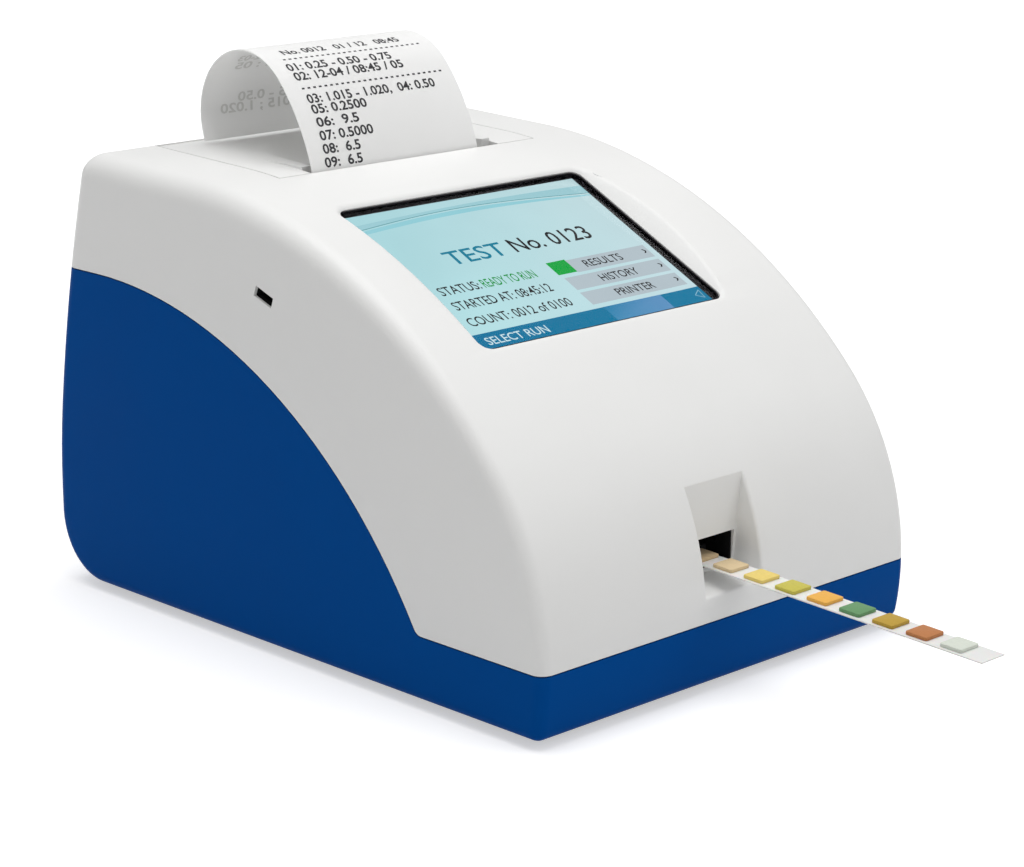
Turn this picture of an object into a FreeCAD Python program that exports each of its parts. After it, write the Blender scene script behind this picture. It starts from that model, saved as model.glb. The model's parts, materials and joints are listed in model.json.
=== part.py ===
import FreeCAD, Part
import math
import os
import Sketcher

# Benchtop urine analyzer with a tilted touch screen, a paper printer and a test strip port.
# Millimetres. +X is to the right as one faces the unit, +Y points to its back, +Z is up.
# The pieces are drawn with Y = 0 at the foremost point of the casing. One shift, frame_shift,
# then brings the middle of the whole unit, with its strip, over the origin. Z = 0 is the table.

V = FreeCAD.Vector
doc = FreeCAD.newDocument("urine_analyzer")
sheet = doc.addObject("Spreadsheet::Sheet", "sizes")


class Size:
    """A length or angle that remembers how it follows from the cells of the sheet."""

    def __init__(self, value, formula=None):
        self.value = float(value)
        self.formula = formula if formula else "(%r)" % float(value)

    def __float__(self):
        return self.value

    def __add__(self, other):
        other = as_size(other)
        return Size(self.value + other.value, "(%s + %s)" % (self.formula, other.formula))

    def __radd__(self, other):
        return as_size(other) + self

    def __sub__(self, other):
        other = as_size(other)
        return Size(self.value - other.value, "(%s - %s)" % (self.formula, other.formula))

    def __rsub__(self, other):
        return as_size(other) - self

    def __mul__(self, other):
        other = as_size(other)
        return Size(self.value * other.value, "(%s * %s)" % (self.formula, other.formula))

    def __rmul__(self, other):
        return as_size(other) * self

    def __truediv__(self, other):
        other = as_size(other)
        return Size(self.value / other.value, "(%s / %s)" % (self.formula, other.formula))

    def __neg__(self):
        return Size(-self.value, "(0 - %s)" % self.formula)


def as_size(number):
    return number if isinstance(number, Size) else Size(number)


def sine(angle):
    return Size(math.sin(math.radians(angle.value)), "sin(%s)" % angle.formula)


def cosine(angle):
    return Size(math.cos(math.radians(angle.value)), "cos(%s)" % angle.formula)


def tangent(angle):
    return Size(math.tan(math.radians(angle.value)), "tan(%s)" % angle.formula)


class Sizes:
    """The driving dimensions, each one a cell of the sheet with the same name."""

    def __init__(self):
        self.row = 0

    def keep(self, **cells):
        for name, value in cells.items():
            self.row += 1
            sheet.set("A%d" % self.row, name)
            sheet.set("B%d" % self.row, str(value))
            sheet.setAlias("B%d" % self.row, name)
            setattr(self, name, Size(value, "sizes." + name))


s = Sizes()
NIL = Size(0)

s.keep(
    body_width=132, body_depth=186.5, foot_height=2, wall=2.5,
    front_radius=71.4, front_height=18.4, front_sweep=41.86, crown_radius=153.6, top_rise=2.02,
    rear_top_radius=7, rear_high_radius=480, rear_low_radius=180, rear_low_lean=7.5,
    rear_straight=6, rear_foot_radius=18,
    front_edge_radius=4.2, top_edge_radius=6.5, rear_edge_radius=4.8, bottom_edge_radius=3.2,
    least_edge_radius=0.6, overrun=6, seat_gap=0.3, run_gap=0.05,
)
half_width = s.body_width / 2


def bind(item, name, size):
    """Ties one property of an object to the cells."""
    item.setExpression(name, as_size(size).formula)


def turn_about_x(item, angle):
    """Gives an object's Placement a turn about X that follows a cell."""
    item.Placement = FreeCAD.Placement(item.Placement.Base, FreeCAD.Rotation(V(1, 0, 0), 1))
    bind(item, "Placement.Rotation.Angle", angle)


def box(x, y, z):
    """A block between two places along each of X, Y and Z."""
    block = doc.addObject("Part::Box", "block")
    for side, start, span in (("Length", "x", x), ("Width", "y", y), ("Height", "z", z)):
        bind(block, side, span[1] - span[0])
        bind(block, "Placement.Base." + start, span[0])
    return block


def about(middle, size):
    """The pair of places that a size takes up when it is centred."""
    return (middle - size / 2, middle + size / 2)


def rod(axis, middle, radius, span):
    """A round bar along an axis: middle is its place across the axis, in X, Y, Z order."""
    bar = doc.addObject("Part::Cylinder", "rod")
    bind(bar, "Radius", radius)
    bind(bar, "Height", span[1] - span[0])
    turns = {"x": (V(0, 1, 0), 90), "y": (V(1, 0, 0), -90), "z": (V(0, 0, 1), 0)}
    bar.Placement = FreeCAD.Placement(V(), FreeCAD.Rotation(*turns[axis]))
    across = [letter for letter in "xyz" if letter != axis]
    bind(bar, "Placement.Base." + axis, span[0])
    bind(bar, "Placement.Base." + across[0], middle[0])
    bind(bar, "Placement.Base." + across[1], middle[1])
    return bar


def join(*items):
    if len(items) == 1:
        return items[0]
    union = doc.addObject("Part::MultiFuse", "union")
    union.Shapes = list(items)
    return union


def cut(base, *tools):
    difference = doc.addObject("Part::Cut", "difference")
    difference.Base = base
    difference.Tool = join(*tools)
    return difference


def overlap(*items):
    shared = doc.addObject("Part::MultiCommon", "shared")
    shared.Shapes = list(items)
    return shared


def group(*items):
    """Like pieces that stay separate solids in one sub-part."""
    several = doc.addObject("Part::Compound", "group")
    several.Links = list(items)
    return several


PLANES = {"xy": "XY_Plane", "yz": "YZ_Plane", "xz": "XZ_Plane"}


def new_sketch(body, plane, level):
    """A sketch on one of the body's own origin planes, or level with it."""
    sketch = body.newObject("Sketcher::SketchObject", "outline")
    face = [item for item in body.Origin.OriginFeatures if item.Role == PLANES[plane]][0]
    sketch.AttachmentSupport = [(face, "")]
    sketch.MapMode = "FlatFace"
    bind(sketch, "AttachmentOffset.Base.z", -level if plane == "xz" else level)
    return sketch


def pin_point(sketch, piece, end, u, v):
    """Fixes one point of a sketch at two bound distances from its origin."""
    for kind, size in (("DistanceX", u), ("DistanceY", v)):
        number = sketch.addConstraint(Sketcher.Constraint(kind, -1, 1, piece, end, float(size)))
        bind(sketch, "Constraints[%d]" % number, size)


def set_datum(sketch, constraint, size):
    bind(sketch, "Constraints[%d]" % sketch.addConstraint(constraint), size)


def draw_outline(sketch, corners):
    """A closed outline of straight lines through bound corners."""
    first = sketch.GeometryCount
    count = len(corners)
    for number in range(count):
        start, end = corners[number], corners[(number + 1) % count]
        line = Part.LineSegment(V(float(start[0]), float(start[1])), V(float(end[0]), float(end[1])))
        sketch.addGeometry(line)
    for number in range(count):
        after = first + (number + 1) % count
        sketch.addConstraint(Sketcher.Constraint("Coincident", first + number, 2, after, 1))
    for number, corner in enumerate(corners):
        pin_point(sketch, first + number, 1, corner[0], corner[1])


def draw_circle(sketch, centre, radius):
    middle = V(float(centre[0]), float(centre[1]))
    piece = sketch.addGeometry(Part.Circle(middle, V(0, 0, 1), float(radius)))
    pin_point(sketch, piece, 3, centre[0], centre[1])
    set_datum(sketch, Sketcher.Constraint("Radius", piece, float(radius)), radius)


def corners_of(u, v):
    return [(u[0], v[0]), (u[1], v[0]), (u[1], v[1]), (u[0], v[1])]


def extrude(body, plane, span, outline, takes_away=False):
    """Adds or takes away the outline, a list of corners or a circle, over a span of its normal."""
    sketch = new_sketch(body, plane, span[1] if plane == "xz" else span[0])
    if isinstance(outline, list):
        draw_outline(sketch, outline)
    else:
        draw_circle(sketch, *outline)
    kind = "PartDesign::Pocket" if takes_away else "PartDesign::Pad"
    feature = body.newObject(kind, "cutout" if takes_away else "solid")
    feature.Profile = sketch
    feature.Reversed = takes_away
    bind(feature, "Length", span[1] - span[0])
    sketch.Visibility = False
    body.Tip = feature
    return feature


def new_body(label):
    return doc.addObject("PartDesign::Body", label)


def round_edges(body, radius, choose):
    """Rounds the edges of a body that a test picks out."""
    doc.recompute()
    base = body.Tip
    picked = ["Edge%d" % (n + 1) for n, edge in enumerate(base.Shape.Edges) if choose(edge)]
    fillet = body.newObject("PartDesign::Fillet", "rounding")
    fillet.Base = (base, picked)
    bind(fillet, "Radius", radius)
    body.Tip = fillet


def flare_walls(body, angle):
    """Leans the side walls of a body outwards from its lowest face."""
    doc.recompute()
    base = body.Tip
    floor = min(base.Shape.Faces, key=lambda face: face.BoundBox.ZMax)
    walls, foot = [], []
    for number, face in enumerate(base.Shape.Faces):
        if face.isSame(floor):
            foot.append("Face%d" % (number + 1))
        elif face.BoundBox.ZLength > float(s.seat_gap):
            walls.append("Face%d" % (number + 1))
    draft = body.newObject("PartDesign::Draft", "flare")
    draft.Base = (base, walls)
    draft.NeutralPlane = (base, foot)
    draft.Reversed = True
    bind(draft, "Angle", angle)
    body.Tip = draft


def edge_along(letter):
    """A test for straight edges that run along one axis."""
    def test(edge):
        if not isinstance(edge.Curve, Part.Line):
            return False
        return abs(getattr(edge.Curve.Direction, letter)) > 0.999
    return test


sub_parts = []


def finish_part(item, label, lean=None):
    """Names a sub-part and moves it, with the frame shift, to its seat."""
    if item.TypeId in ("Part::Box", "Part::Cylinder"):
        item = group(item)
    if lean is None:
        bind(item, "Placement.Base.y", frame_shift)
    else:
        seat_in(item, lean, frame_shift)
    item.Label = label
    sub_parts.append(item)
    return item


def seat_in(item, lean, shift=NIL):
    """Puts a piece drawn flat into a leaning frame: its X, Y and Z place, and its angle about X."""
    if item.TypeId in ("Part::Box", "Part::Cylinder"):
        item = group(item)
    turn_about_x(item, lean[3])
    bind(item, "Placement.Base.x", lean[0])
    bind(item, "Placement.Base.y", lean[1] + shift)
    bind(item, "Placement.Base.z", lean[2])
    return item


# Outer form of the casing: a curved front that rolls back into a nearly flat top
def draw_profile(sketch, inset):
    """The side view of the casing, smaller all round by the inset, as eight tangent stretches."""
    i = float(inset)
    z_low = float(s.foot_height) + i
    depth = float(s.body_depth)
    front = V(float(s.front_radius), float(s.front_height))
    sweep = math.radians(float(s.front_sweep))
    away = V(-math.cos(sweep), math.sin(sweep))
    crown = front - away * (float(s.crown_radius) - float(s.front_radius))
    rise = math.radians(float(s.top_rise))
    along, up = V(math.cos(rise), math.sin(rise)), V(-math.sin(rise), math.cos(rise))
    foot = V(depth - float(s.rear_foot_radius), float(s.foot_height + s.rear_foot_radius))
    z_bend = foot.y + float(s.rear_straight)
    low = V(depth - float(s.rear_low_radius), z_bend)
    lean = math.radians(float(s.rear_low_lean))
    back = V(math.cos(lean), math.sin(lean))
    high = low - back * (float(s.rear_high_radius) - float(s.rear_low_radius))
    r_front, r_crown = float(s.front_radius) - i, float(s.crown_radius) - i
    r_top, r_high = float(s.rear_top_radius) - i, float(s.rear_high_radius) - i
    r_low, r_foot = float(s.rear_low_radius) - i, float(s.rear_foot_radius) - i
    peak = crown + up * r_crown
    offset = peak - up * r_top - high
    slide = -offset.dot(along)
    slide += math.sqrt(offset.dot(along) ** 2 - offset.dot(offset) + (r_high - r_top) ** 2)
    corner = peak - up * r_top + along * slide
    outward = (corner - high).normalize()
    start_angle = math.asin((z_low - front.y) / r_front)
    start = V(front.x - r_front * math.cos(start_angle), z_low)

    def arc(centre, radius, first, last):
        """The arc that turns clockwise from the first direction to the last."""
        ends = math.atan2(last.y, last.x), math.atan2(first.y, first.x)
        circle = Part.Circle(centre, V(0, 0, 1), radius)
        return Part.ArcOfCircle(circle, ends[0], ends[1] + (math.tau if ends[1] < ends[0] else 0))

    front_dir = (start - front).normalize()
    pieces = [
        arc(front, r_front, front_dir, away),
        arc(crown, r_crown, away, up),
        Part.LineSegment(peak, corner + up * r_top),
        arc(corner, r_top, up, outward),
        arc(high, r_high, outward, back),
        arc(low, r_low, back, V(1, 0)),
        Part.LineSegment(V(depth - i, z_bend), V(depth - i, foot.y)),
        arc(foot, r_foot, V(1, 0), V(0, -1)),
        Part.LineSegment(V(foot.x, z_low), start),
    ]
    for piece in pieces:
        sketch.addGeometry(piece)
    # an arc runs anticlockwise from its end 1, so the outline, drawn clockwise, enters it at 2
    ends = [(2, 1), (2, 1), (1, 2), (2, 1), (2, 1), (2, 1), (1, 2), (2, 1), (1, 2)]
    count = len(pieces)
    for number in range(count - 1):
        joint = Sketcher.Constraint("Tangent", number, ends[number][1], number + 1, ends[number + 1][0])
        sketch.addConstraint(joint)
    sketch.addConstraint(Sketcher.Constraint("Coincident", count - 1, 2, 0, ends[0][0]))
    sketch.addConstraint(Sketcher.Constraint("Horizontal", 8))
    sketch.addConstraint(Sketcher.Constraint("Vertical", 6))
    radii = [(0, s.front_radius), (1, s.crown_radius), (3, s.rear_top_radius),
             (4, s.rear_high_radius), (5, s.rear_low_radius), (7, s.rear_foot_radius)]
    for number, radius in radii:
        value = float(radius) - i
        set_datum(sketch, Sketcher.Constraint("Radius", number, value), radius - inset)
    pin_point(sketch, 0, 3, s.front_radius, s.front_height)
    z_joint = s.front_height + (s.front_radius - inset) * sine(s.front_sweep)
    z_back = s.foot_height + s.rear_foot_radius
    z_lean = z_back + s.rear_straight + (s.rear_low_radius - inset) * sine(s.rear_low_lean)
    heights = [(0, 1, z_joint), (8, 1, s.foot_height + inset),
               (6, 1, z_back + s.rear_straight), (5, 2, z_lean)]
    for piece, end, height in heights:
        level = Sketcher.Constraint("DistanceY", -1, 1, piece, end, float(height))
        set_datum(sketch, level, height)
    rear = Sketcher.Constraint("DistanceX", -1, 1, 6, 1, float(s.body_depth - inset))
    set_datum(sketch, rear, s.body_depth - inset)
    set_datum(sketch, Sketcher.Constraint("Angle", 2, rise), s.top_rise)
    return sketch


def rounded_form(inset):
    """The casing's form, smaller all round by the inset, with its side edges rounded."""
    inset = as_size(inset)
    body = new_body("form")
    sketch = new_sketch(body, "yz", inset - half_width)
    draw_profile(sketch, inset)
    pad = body.newObject("PartDesign::Pad", "solid")
    pad.Profile = sketch
    bind(pad, "Length", s.body_width - inset * 2)
    body.Tip = pad
    doc.recompute()
    side = float(half_width - inset)
    least = float(s.least_edge_radius)
    low = float(s.foot_height + inset)
    z_crown = float(s.front_height + (s.front_radius - inset) * sine(s.front_sweep))
    z_foot = float(s.foot_height + s.rear_foot_radius)
    middle = float(s.body_depth) / 2

    def radius_at(point):
        """The edge radius grows from the front corners to the top, and is small underneath."""
        if point.z < low + least:
            radius = s.bottom_edge_radius
        elif point.y < middle and point.z < z_crown + least:
            radius = s.front_edge_radius
        elif point.y > middle and point.z < z_foot + least:
            radius = s.rear_edge_radius
        elif point.y > middle + float(s.front_radius):
            radius = s.rear_edge_radius
        else:
            radius = s.top_edge_radius
        return max(float(radius) - float(inset), least)

    edges = []
    for number, edge in enumerate(body.Shape.Edges):
        first, last = edge.valueAt(edge.FirstParameter), edge.valueAt(edge.LastParameter)
        at_side = abs(abs(first.x) - side) < least and abs(first.x - last.x) < least
        under_front = first.z < low + least and last.z < low + least and first.y < middle
        if at_side or (under_front and last.y < middle):
            edges.append((number + 1, radius_at(first), radius_at(last)))
    form = doc.addObject("Part::Fillet", "rounded_form")
    form.Base = body
    form.Edges = edges
    return form


outer_form = rounded_form(0)
inner_form = rounded_form(s.wall)

# The unit is drawn from its front; this shift puts the middle of the whole unit over Y = 0
s.keep(strip_reach=75.9)
frame_shift = -(s.body_depth - s.strip_reach) / 2

# Seam between the two casings: level at the front, then an arc that climbs the side to the back
s.keep(
    seam_height=18.66, seam_rear_height=87.4, seam_arc_radius=142.5, seam_arc_back=22.4,
    seam_corner_radius=3, seam_gap=0.35, lip_height=2, lip_wall=1.1,
)


def root_of(size):
    return Size(math.sqrt(size.value), "sqrt(%s)" % size.formula)


def below_seam(label, grow):
    """A block that fills everything under the seam, with the seam raised by a distance."""
    grow = as_size(grow)
    centre = (s.body_depth - s.seam_arc_back, s.seam_rear_height - s.seam_arc_radius)
    big = s.seam_arc_radius + grow
    small = s.seam_corner_radius - grow
    level = s.seam_height + grow
    drop = level + small - centre[1]
    across = root_of((big + small) * (big + small) - drop * drop)
    corner = (centre[0] - across, level + small)
    share = big / (big + small)
    meet = (centre[0] - across * share, centre[1] + drop * share)
    front, back = -s.overrun, s.body_depth + s.overrun
    low, high = -s.overrun, centre[1] + big
    body = new_body(label)
    sketch = new_sketch(body, "yz", -half_width - s.overrun)

    def line(a, b):
        sketch.addGeometry(Part.LineSegment(V(float(a[0]), float(a[1])), V(float(b[0]), float(b[1]))))

    def arc(middle, radius, first, last):
        angles = [math.atan2(float(p[1] - middle[1]), float(p[0] - middle[0])) for p in (first, last)]
        circle = Part.Circle(V(float(middle[0]), float(middle[1])), V(0, 0, 1), float(radius))
        sketch.addGeometry(Part.ArcOfCircle(circle, angles[0], angles[1]))

    bottom_front, bottom_back, top_back = (front, low), (back, low), (back, high)
    crest, toe, top_front = (centre[0], high), (corner[0], level), (front, level)
    line(bottom_front, bottom_back)
    line(bottom_back, top_back)
    line(top_back, crest)
    arc(centre, big, crest, meet)
    arc(corner, small, toe, meet)
    line(toe, top_front)
    line(top_front, bottom_front)
    for number, end, point in ((0, 1, bottom_front), (0, 2, bottom_back), (1, 2, top_back),
                               (2, 2, crest), (3, 2, meet), (4, 1, toe), (5, 2, top_front)):
        pin_point(sketch, number, end, *point)
    for one, one_end, other, other_end in ((0, 2, 1, 1), (1, 2, 2, 1), (2, 2, 3, 1), (3, 2, 4, 2),
                                           (4, 1, 5, 1), (5, 2, 6, 1), (6, 2, 0, 1)):
        sketch.addConstraint(Sketcher.Constraint("Coincident", one, one_end, other, other_end))
    set_datum(sketch, Sketcher.Constraint("Radius", 3, float(big)), big)
    set_datum(sketch, Sketcher.Constraint("Radius", 4, float(small)), small)
    pad = body.newObject("PartDesign::Pad", "solid")
    pad.Profile = sketch
    bind(pad, "Length", s.body_width + s.overrun * 2)
    body.Tip = pad
    return body


# Places that several pieces share: the leaning frames of the screen and of the test strip
s.keep(screen_back=66.2, screen_height=97.4, screen_lean=25.95, screen_middle=-4.3)
s.keep(strip_back=8, strip_height=30, strip_lean=2.5)
screen_seat = (s.screen_middle, s.screen_back, s.screen_height, s.screen_lean)
strip_seat = (NIL, s.strip_back, s.strip_height, s.strip_lean)
floor_top = s.foot_height + s.wall

# Posts that the casing screws join: the base casing's posts meet the top casing's
s.keep(
    post_radius=4, post_inset=8.5, front_post_back=26, rear_post_back=150,
    rear_post_height=78, screw_radius=1.5, screw_length=13, screw_head_radius=2.8,
    screw_head_height=2, screw_bite=8, head_clearance=0.4,
)
post_x = half_width - s.post_inset
front_post_top = s.seam_height - s.seam_gap / 2
posts = ((s.front_post_back, front_post_top), (s.rear_post_back, s.rear_post_height))
screw_bore = s.screw_radius + s.run_gap


def pairs_of(make):
    """One piece and its mirror image at each of the two rows of posts."""
    items = []
    for back, top in posts:
        for side in (post_x, -post_x):
            items.append(make(side, back, top))
    return items


def base_post(x, y, top):
    return rod("z", (x, y), s.post_radius, (s.foot_height, top))


def top_post(x, y, top):
    return rod("z", (x, y), s.post_radius, (top + s.seam_gap, s.rear_post_height + s.seam_height * 2))


def post_bore(x, y, top):
    """The way for a screw: a wide bore from below up to its head, then a close one."""
    seat = top + s.seam_gap + s.screw_bite - s.screw_length
    wide = rod("z", (x, y), s.screw_head_radius + s.head_clearance, (-s.overrun, seat))
    return join(wide, rod("z", (x, y), screw_bore, (-s.overrun, seat + s.screw_length)))


def casing_screw(x, y, top):
    seat = top + s.seam_gap + s.screw_bite - s.screw_length
    head = rod("z", (x, y), s.screw_head_radius, (seat - s.screw_head_height, seat))
    return join(head, rod("z", (x, y), s.screw_radius, (seat, seat + s.screw_length - s.seat_gap)))


# Rubber feet, pressed into shallow seats under the base casing
s.keep(foot_radius=5.5, foot_inset=16, front_foot_back=18, rear_foot_front=24, foot_seat=0.8)
foot_places = []
for foot_y in (s.front_foot_back, s.body_depth - s.rear_foot_front):
    for foot_x in (half_width - s.foot_inset, s.foot_inset - half_width):
        foot_places.append((foot_x, foot_y))
feet = [rod("z", place, s.foot_radius, (NIL, s.foot_height + s.foot_seat)) for place in foot_places]
foot_seats = [rod("z", place, s.foot_radius, (-s.overrun, s.foot_height + s.foot_seat))
              for place in foot_places]
finish_part(group(*feet), "rubber_feet")
finish_part(group(*pairs_of(casing_screw)), "casing_screws")

# Connector bay in the base casing's back: a flat panel with the sockets and the power switch
s.keep(
    bay_width=118, bay_low=10.5, bay_high=40, bay_depth=1.5, bay_wall=2.5,
    board_height=10.5, board_thick=1.6, socket_back_gap=0.5,
    power_jack_x=20, power_jack_width=9, power_jack_height=11, power_jack_depth=14,
    jack_bore=3.1, jack_pin=1, jack_hole_depth=9.5,
    usb_b_x=33.5, usb_b_width=12, usb_b_height=11, usb_b_depth=16,
    usb_a_x=-44, usb_a_width=14.4, usb_a_height=7, usb_a_depth=14,
    service_x=-26, service_width=14.4, switch_x=49, switch_height=27,
    switch_width=11.6, switch_tall=18, switch_flange=1.6, switch_depth=11,
    switch_flange_thick=1.2, switch_wall=1,
)
panel_y = s.body_depth - s.bay_depth
bay_x = about(NIL, s.bay_width)
bay_block = overlap(
    outer_form,
    box(bay_x, (panel_y - s.bay_wall, s.body_depth + s.overrun), (s.bay_low - s.wall, s.bay_high + s.wall)),
)
bay_cut = box(bay_x, (panel_y, s.body_depth + s.overrun), (s.bay_low, s.bay_high))
board_top = s.board_height + s.board_thick
through_panel = (panel_y - s.bay_wall - s.overrun, panel_y + s.overrun)


def socket_hole(x, width, height):
    z = (board_top - s.seat_gap, board_top + height + s.seat_gap)
    return box(about(x, width + s.seat_gap * 2), through_panel, z)


panel_holes = [
    socket_hole(s.power_jack_x, s.power_jack_width, s.power_jack_height),
    socket_hole(s.usb_b_x, s.usb_b_width, s.usb_b_height),
    socket_hole(s.usb_a_x, s.usb_a_width, s.usb_a_height),
    socket_hole(s.service_x, s.service_width, s.usb_a_height),
    box(about(s.switch_x, s.switch_width + s.switch_wall * 2), through_panel,
        about(s.switch_height, s.switch_tall + s.switch_wall * 2)),
]

# Circuit boards and the posts that carry them
s.keep(
    board_post_radius=3, main_board_inner=12, main_board_outer=53.5, main_board_front=32,
    board_rear_gap=6, port_board_inner=13.5, port_board_outer=53.5, io_board_front=112,
    board_post_inset=4.5, rear_board_post=136, board_screw_radius=1.2, board_screw_head=2.4,
    board_screw_head_height=1.4, board_screw_length=6.5,
)
board_back = panel_y - s.board_rear_gap
main_posts = [(-x, y) for x in (s.main_board_inner + s.board_post_inset,
                                s.main_board_outer - s.board_post_inset)
              for y in (s.main_board_front + s.board_post_inset, s.rear_board_post)]
io_posts = [(x, y) for x in (s.port_board_inner + s.board_post_inset,
                             s.port_board_outer - s.board_post_inset)
            for y in (s.io_board_front + s.board_post_inset, s.rear_board_post)]
board_posts = main_posts + io_posts
post_rods = [rod("z", place, s.board_post_radius, (s.foot_height, s.board_height)) for place in board_posts]
screw_end = board_top - s.board_screw_length - s.seat_gap
post_pilots = [rod("z", place, s.board_screw_radius + s.run_gap, (screw_end, board_top))
               for place in board_posts]

# Base casing: the blue lower shell, with a lip that the top casing fits over
lip_form = rounded_form(s.wall - s.lip_wall)
base_shell = overlap(cut(outer_form, inner_form), below_seam("under_seam", -s.seam_gap / 2))
base_lip = overlap(cut(lip_form, inner_form), below_seam("lip_zone", s.lip_height))
base_solid = join(base_shell, base_lip, bay_block, *(pairs_of(base_post) + post_rods))
base_casing = cut(base_solid, bay_cut, *(panel_holes + pairs_of(post_bore) + foot_seats + post_pilots))
finish_part(base_casing, "base_casing")

# Screen: a glass seated under a carved opening, the display, and a metal plate that clamps both
s.keep(
    opening_width=84.8, opening_length=59.2, opening_corner=3, opening_bow=3.1,
    opening_rim=0.6, opening_flare=48, screen_lip=2.2, ring_wall=4.5,
    glass_overlap=1.2, glass_thick=1.1, display_thick=4.9, display_margin=1, plate_thick=1,
    plate_width=103, plate_length=59, plate_window_width=50, plate_window_length=30,
    screw_boss_radius=3.2, boss_across=47.6, boss_along=25, plate_screw_radius=1.2,
    plate_screw_head=2.4, plate_screw_head_height=1.4, plate_screw_length=5.4,
)


def rounded_block(label, width, length, corner, span):
    """A plate with rounded corners, drawn flat about its own middle."""
    body = new_body(label)
    extrude(body, "xy", span, corners_of(about(NIL, width), about(NIL, length)))
    round_edges(body, corner, edge_along("z"))
    return body


def in_screen(item):
    return seat_in(item, screen_seat)


clamp_level = -(s.glass_thick + s.display_thick)
glass_width = s.opening_width + s.glass_overlap * 2
glass_length = s.opening_length + s.glass_overlap * 2
half_chord = s.opening_length / 2 + s.opening_corner
bow_radius = (half_chord * half_chord / s.opening_bow + s.opening_bow) / 2
bow_middle = -s.opening_width / 2 + s.opening_bow - bow_radius


def opening_block(label, span):
    """The opening as a block: its left side bows in, so that the flared rim looks straight."""
    body = new_body(label)
    extrude(body, "xy", span, corners_of(about(NIL, s.opening_width), about(NIL, s.opening_length)))
    extrude(body, "xy", span, ((bow_middle, NIL), bow_radius), True)
    round_edges(body, s.opening_corner, edge_along("z"))
    return body


screen_recess = in_screen(opening_block("screen_recess", (NIL, s.overrun)))
screen_flare = opening_block("screen_flare", (s.opening_rim, s.overrun * 2))
flare_walls(screen_flare, s.opening_flare)
screen_flare = in_screen(screen_flare)
ring_block = in_screen(rounded_block("screen_ring", s.opening_width + s.ring_wall * 2,
                                     s.opening_length + s.ring_wall * 2,
                                     s.opening_corner + s.ring_wall, (NIL, s.overrun * 2)))
glass_pocket = in_screen(rounded_block("glass_pocket", glass_width + s.seat_gap * 2,
                                       glass_length + s.seat_gap * 2, s.opening_corner,
                                       (clamp_level - s.overrun, NIL)))
boss_places = [(x, y) for x in (s.boss_across, -s.boss_across) for y in (s.boss_along, -s.boss_along)]
screen_bosses = [in_screen(rod("z", place, s.screw_boss_radius, (clamp_level, s.overrun)))
                 for place in boss_places]
screw_tip = clamp_level - s.plate_thick + s.plate_screw_length
boss_pilots = [in_screen(rod("z", place, s.plate_screw_radius + s.run_gap,
                             (clamp_level - s.overrun, screw_tip + s.seat_gap)))
               for place in boss_places]

touch_glass = rounded_block("touch_glass", glass_width, glass_length, s.opening_corner,
                            (-s.glass_thick, NIL))
finish_part(touch_glass, "touch_glass", screen_seat)

display = new_body("display_module")
extrude(display, "xy", (clamp_level, -s.glass_thick),
        corners_of(about(NIL, glass_width), about(NIL, glass_length)))
finish_part(display, "display_module", screen_seat)

plate = new_body("screen_plate")
plate_span = (clamp_level - s.plate_thick, clamp_level)
extrude(plate, "xy", plate_span, corners_of(about(NIL, s.plate_width), about(NIL, s.plate_length)))
extrude(plate, "xy", plate_span,
        corners_of(about(NIL, s.plate_window_width), about(NIL, s.plate_window_length)), True)
for place in boss_places:
    extrude(plate, "xy", plate_span, (place, s.plate_screw_radius + s.run_gap), True)
finish_part(plate, "screen_plate", screen_seat)


def plate_screw(place):
    under = plate_span[0]
    head = rod("z", place, s.plate_screw_head, (under - s.plate_screw_head_height, under))
    return join(head, rod("z", place, s.plate_screw_radius, (under, screw_tip)))


finish_part(group(*[plate_screw(place) for place in boss_places]), "screen_screws", screen_seat)

# Strip port: a tall recess in the front that ends in a dark mouth, with a black shade behind it
s.keep(
    port_width=20.2, port_top=50.8, port_lean=5.3, port_back=10.2, port_floor=27,
    port_floor_fall=11.5, port_wall=2.4, port_lip=0.9, mouth_width=18.8, mouth_low=28.2,
    mouth_high=36.2, shade_width=25, shade_low=25.8, shade_high=38.6, shade_thick=2.6,
)
port_back_y = s.port_back + s.port_wall
port_high = s.port_top + s.overrun
port_tool = new_body("port_recess")
extrude(port_tool, "yz", about(NIL, s.port_width), [
    (-s.overrun, s.port_floor - (s.port_back + s.overrun) * tangent(s.port_floor_fall)),
    (s.port_back, s.port_floor),
    (s.port_back - (port_high - s.port_floor) * tangent(s.port_lean), port_high),
    (-s.overrun, port_high),
])
port_block = box(about(NIL, s.port_width + s.port_wall * 2), (-s.overrun, port_back_y),
                 (s.port_floor - s.overrun, s.port_top + s.port_wall))
mouth = box(about(NIL, s.mouth_width), (NIL, port_back_y + s.overrun), (s.mouth_low, s.mouth_high))
shade_y = (port_back_y, port_back_y + s.shade_thick)
port_shade = new_body("port_shade")
extrude(port_shade, "xz", shade_y, corners_of(about(NIL, s.shade_width), (s.shade_low, s.shade_high)))
extrude(port_shade, "xz", shade_y, corners_of(about(NIL, s.mouth_width), (s.mouth_low, s.mouth_high)),
        True)
finish_part(port_shade, "port_shade")

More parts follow.
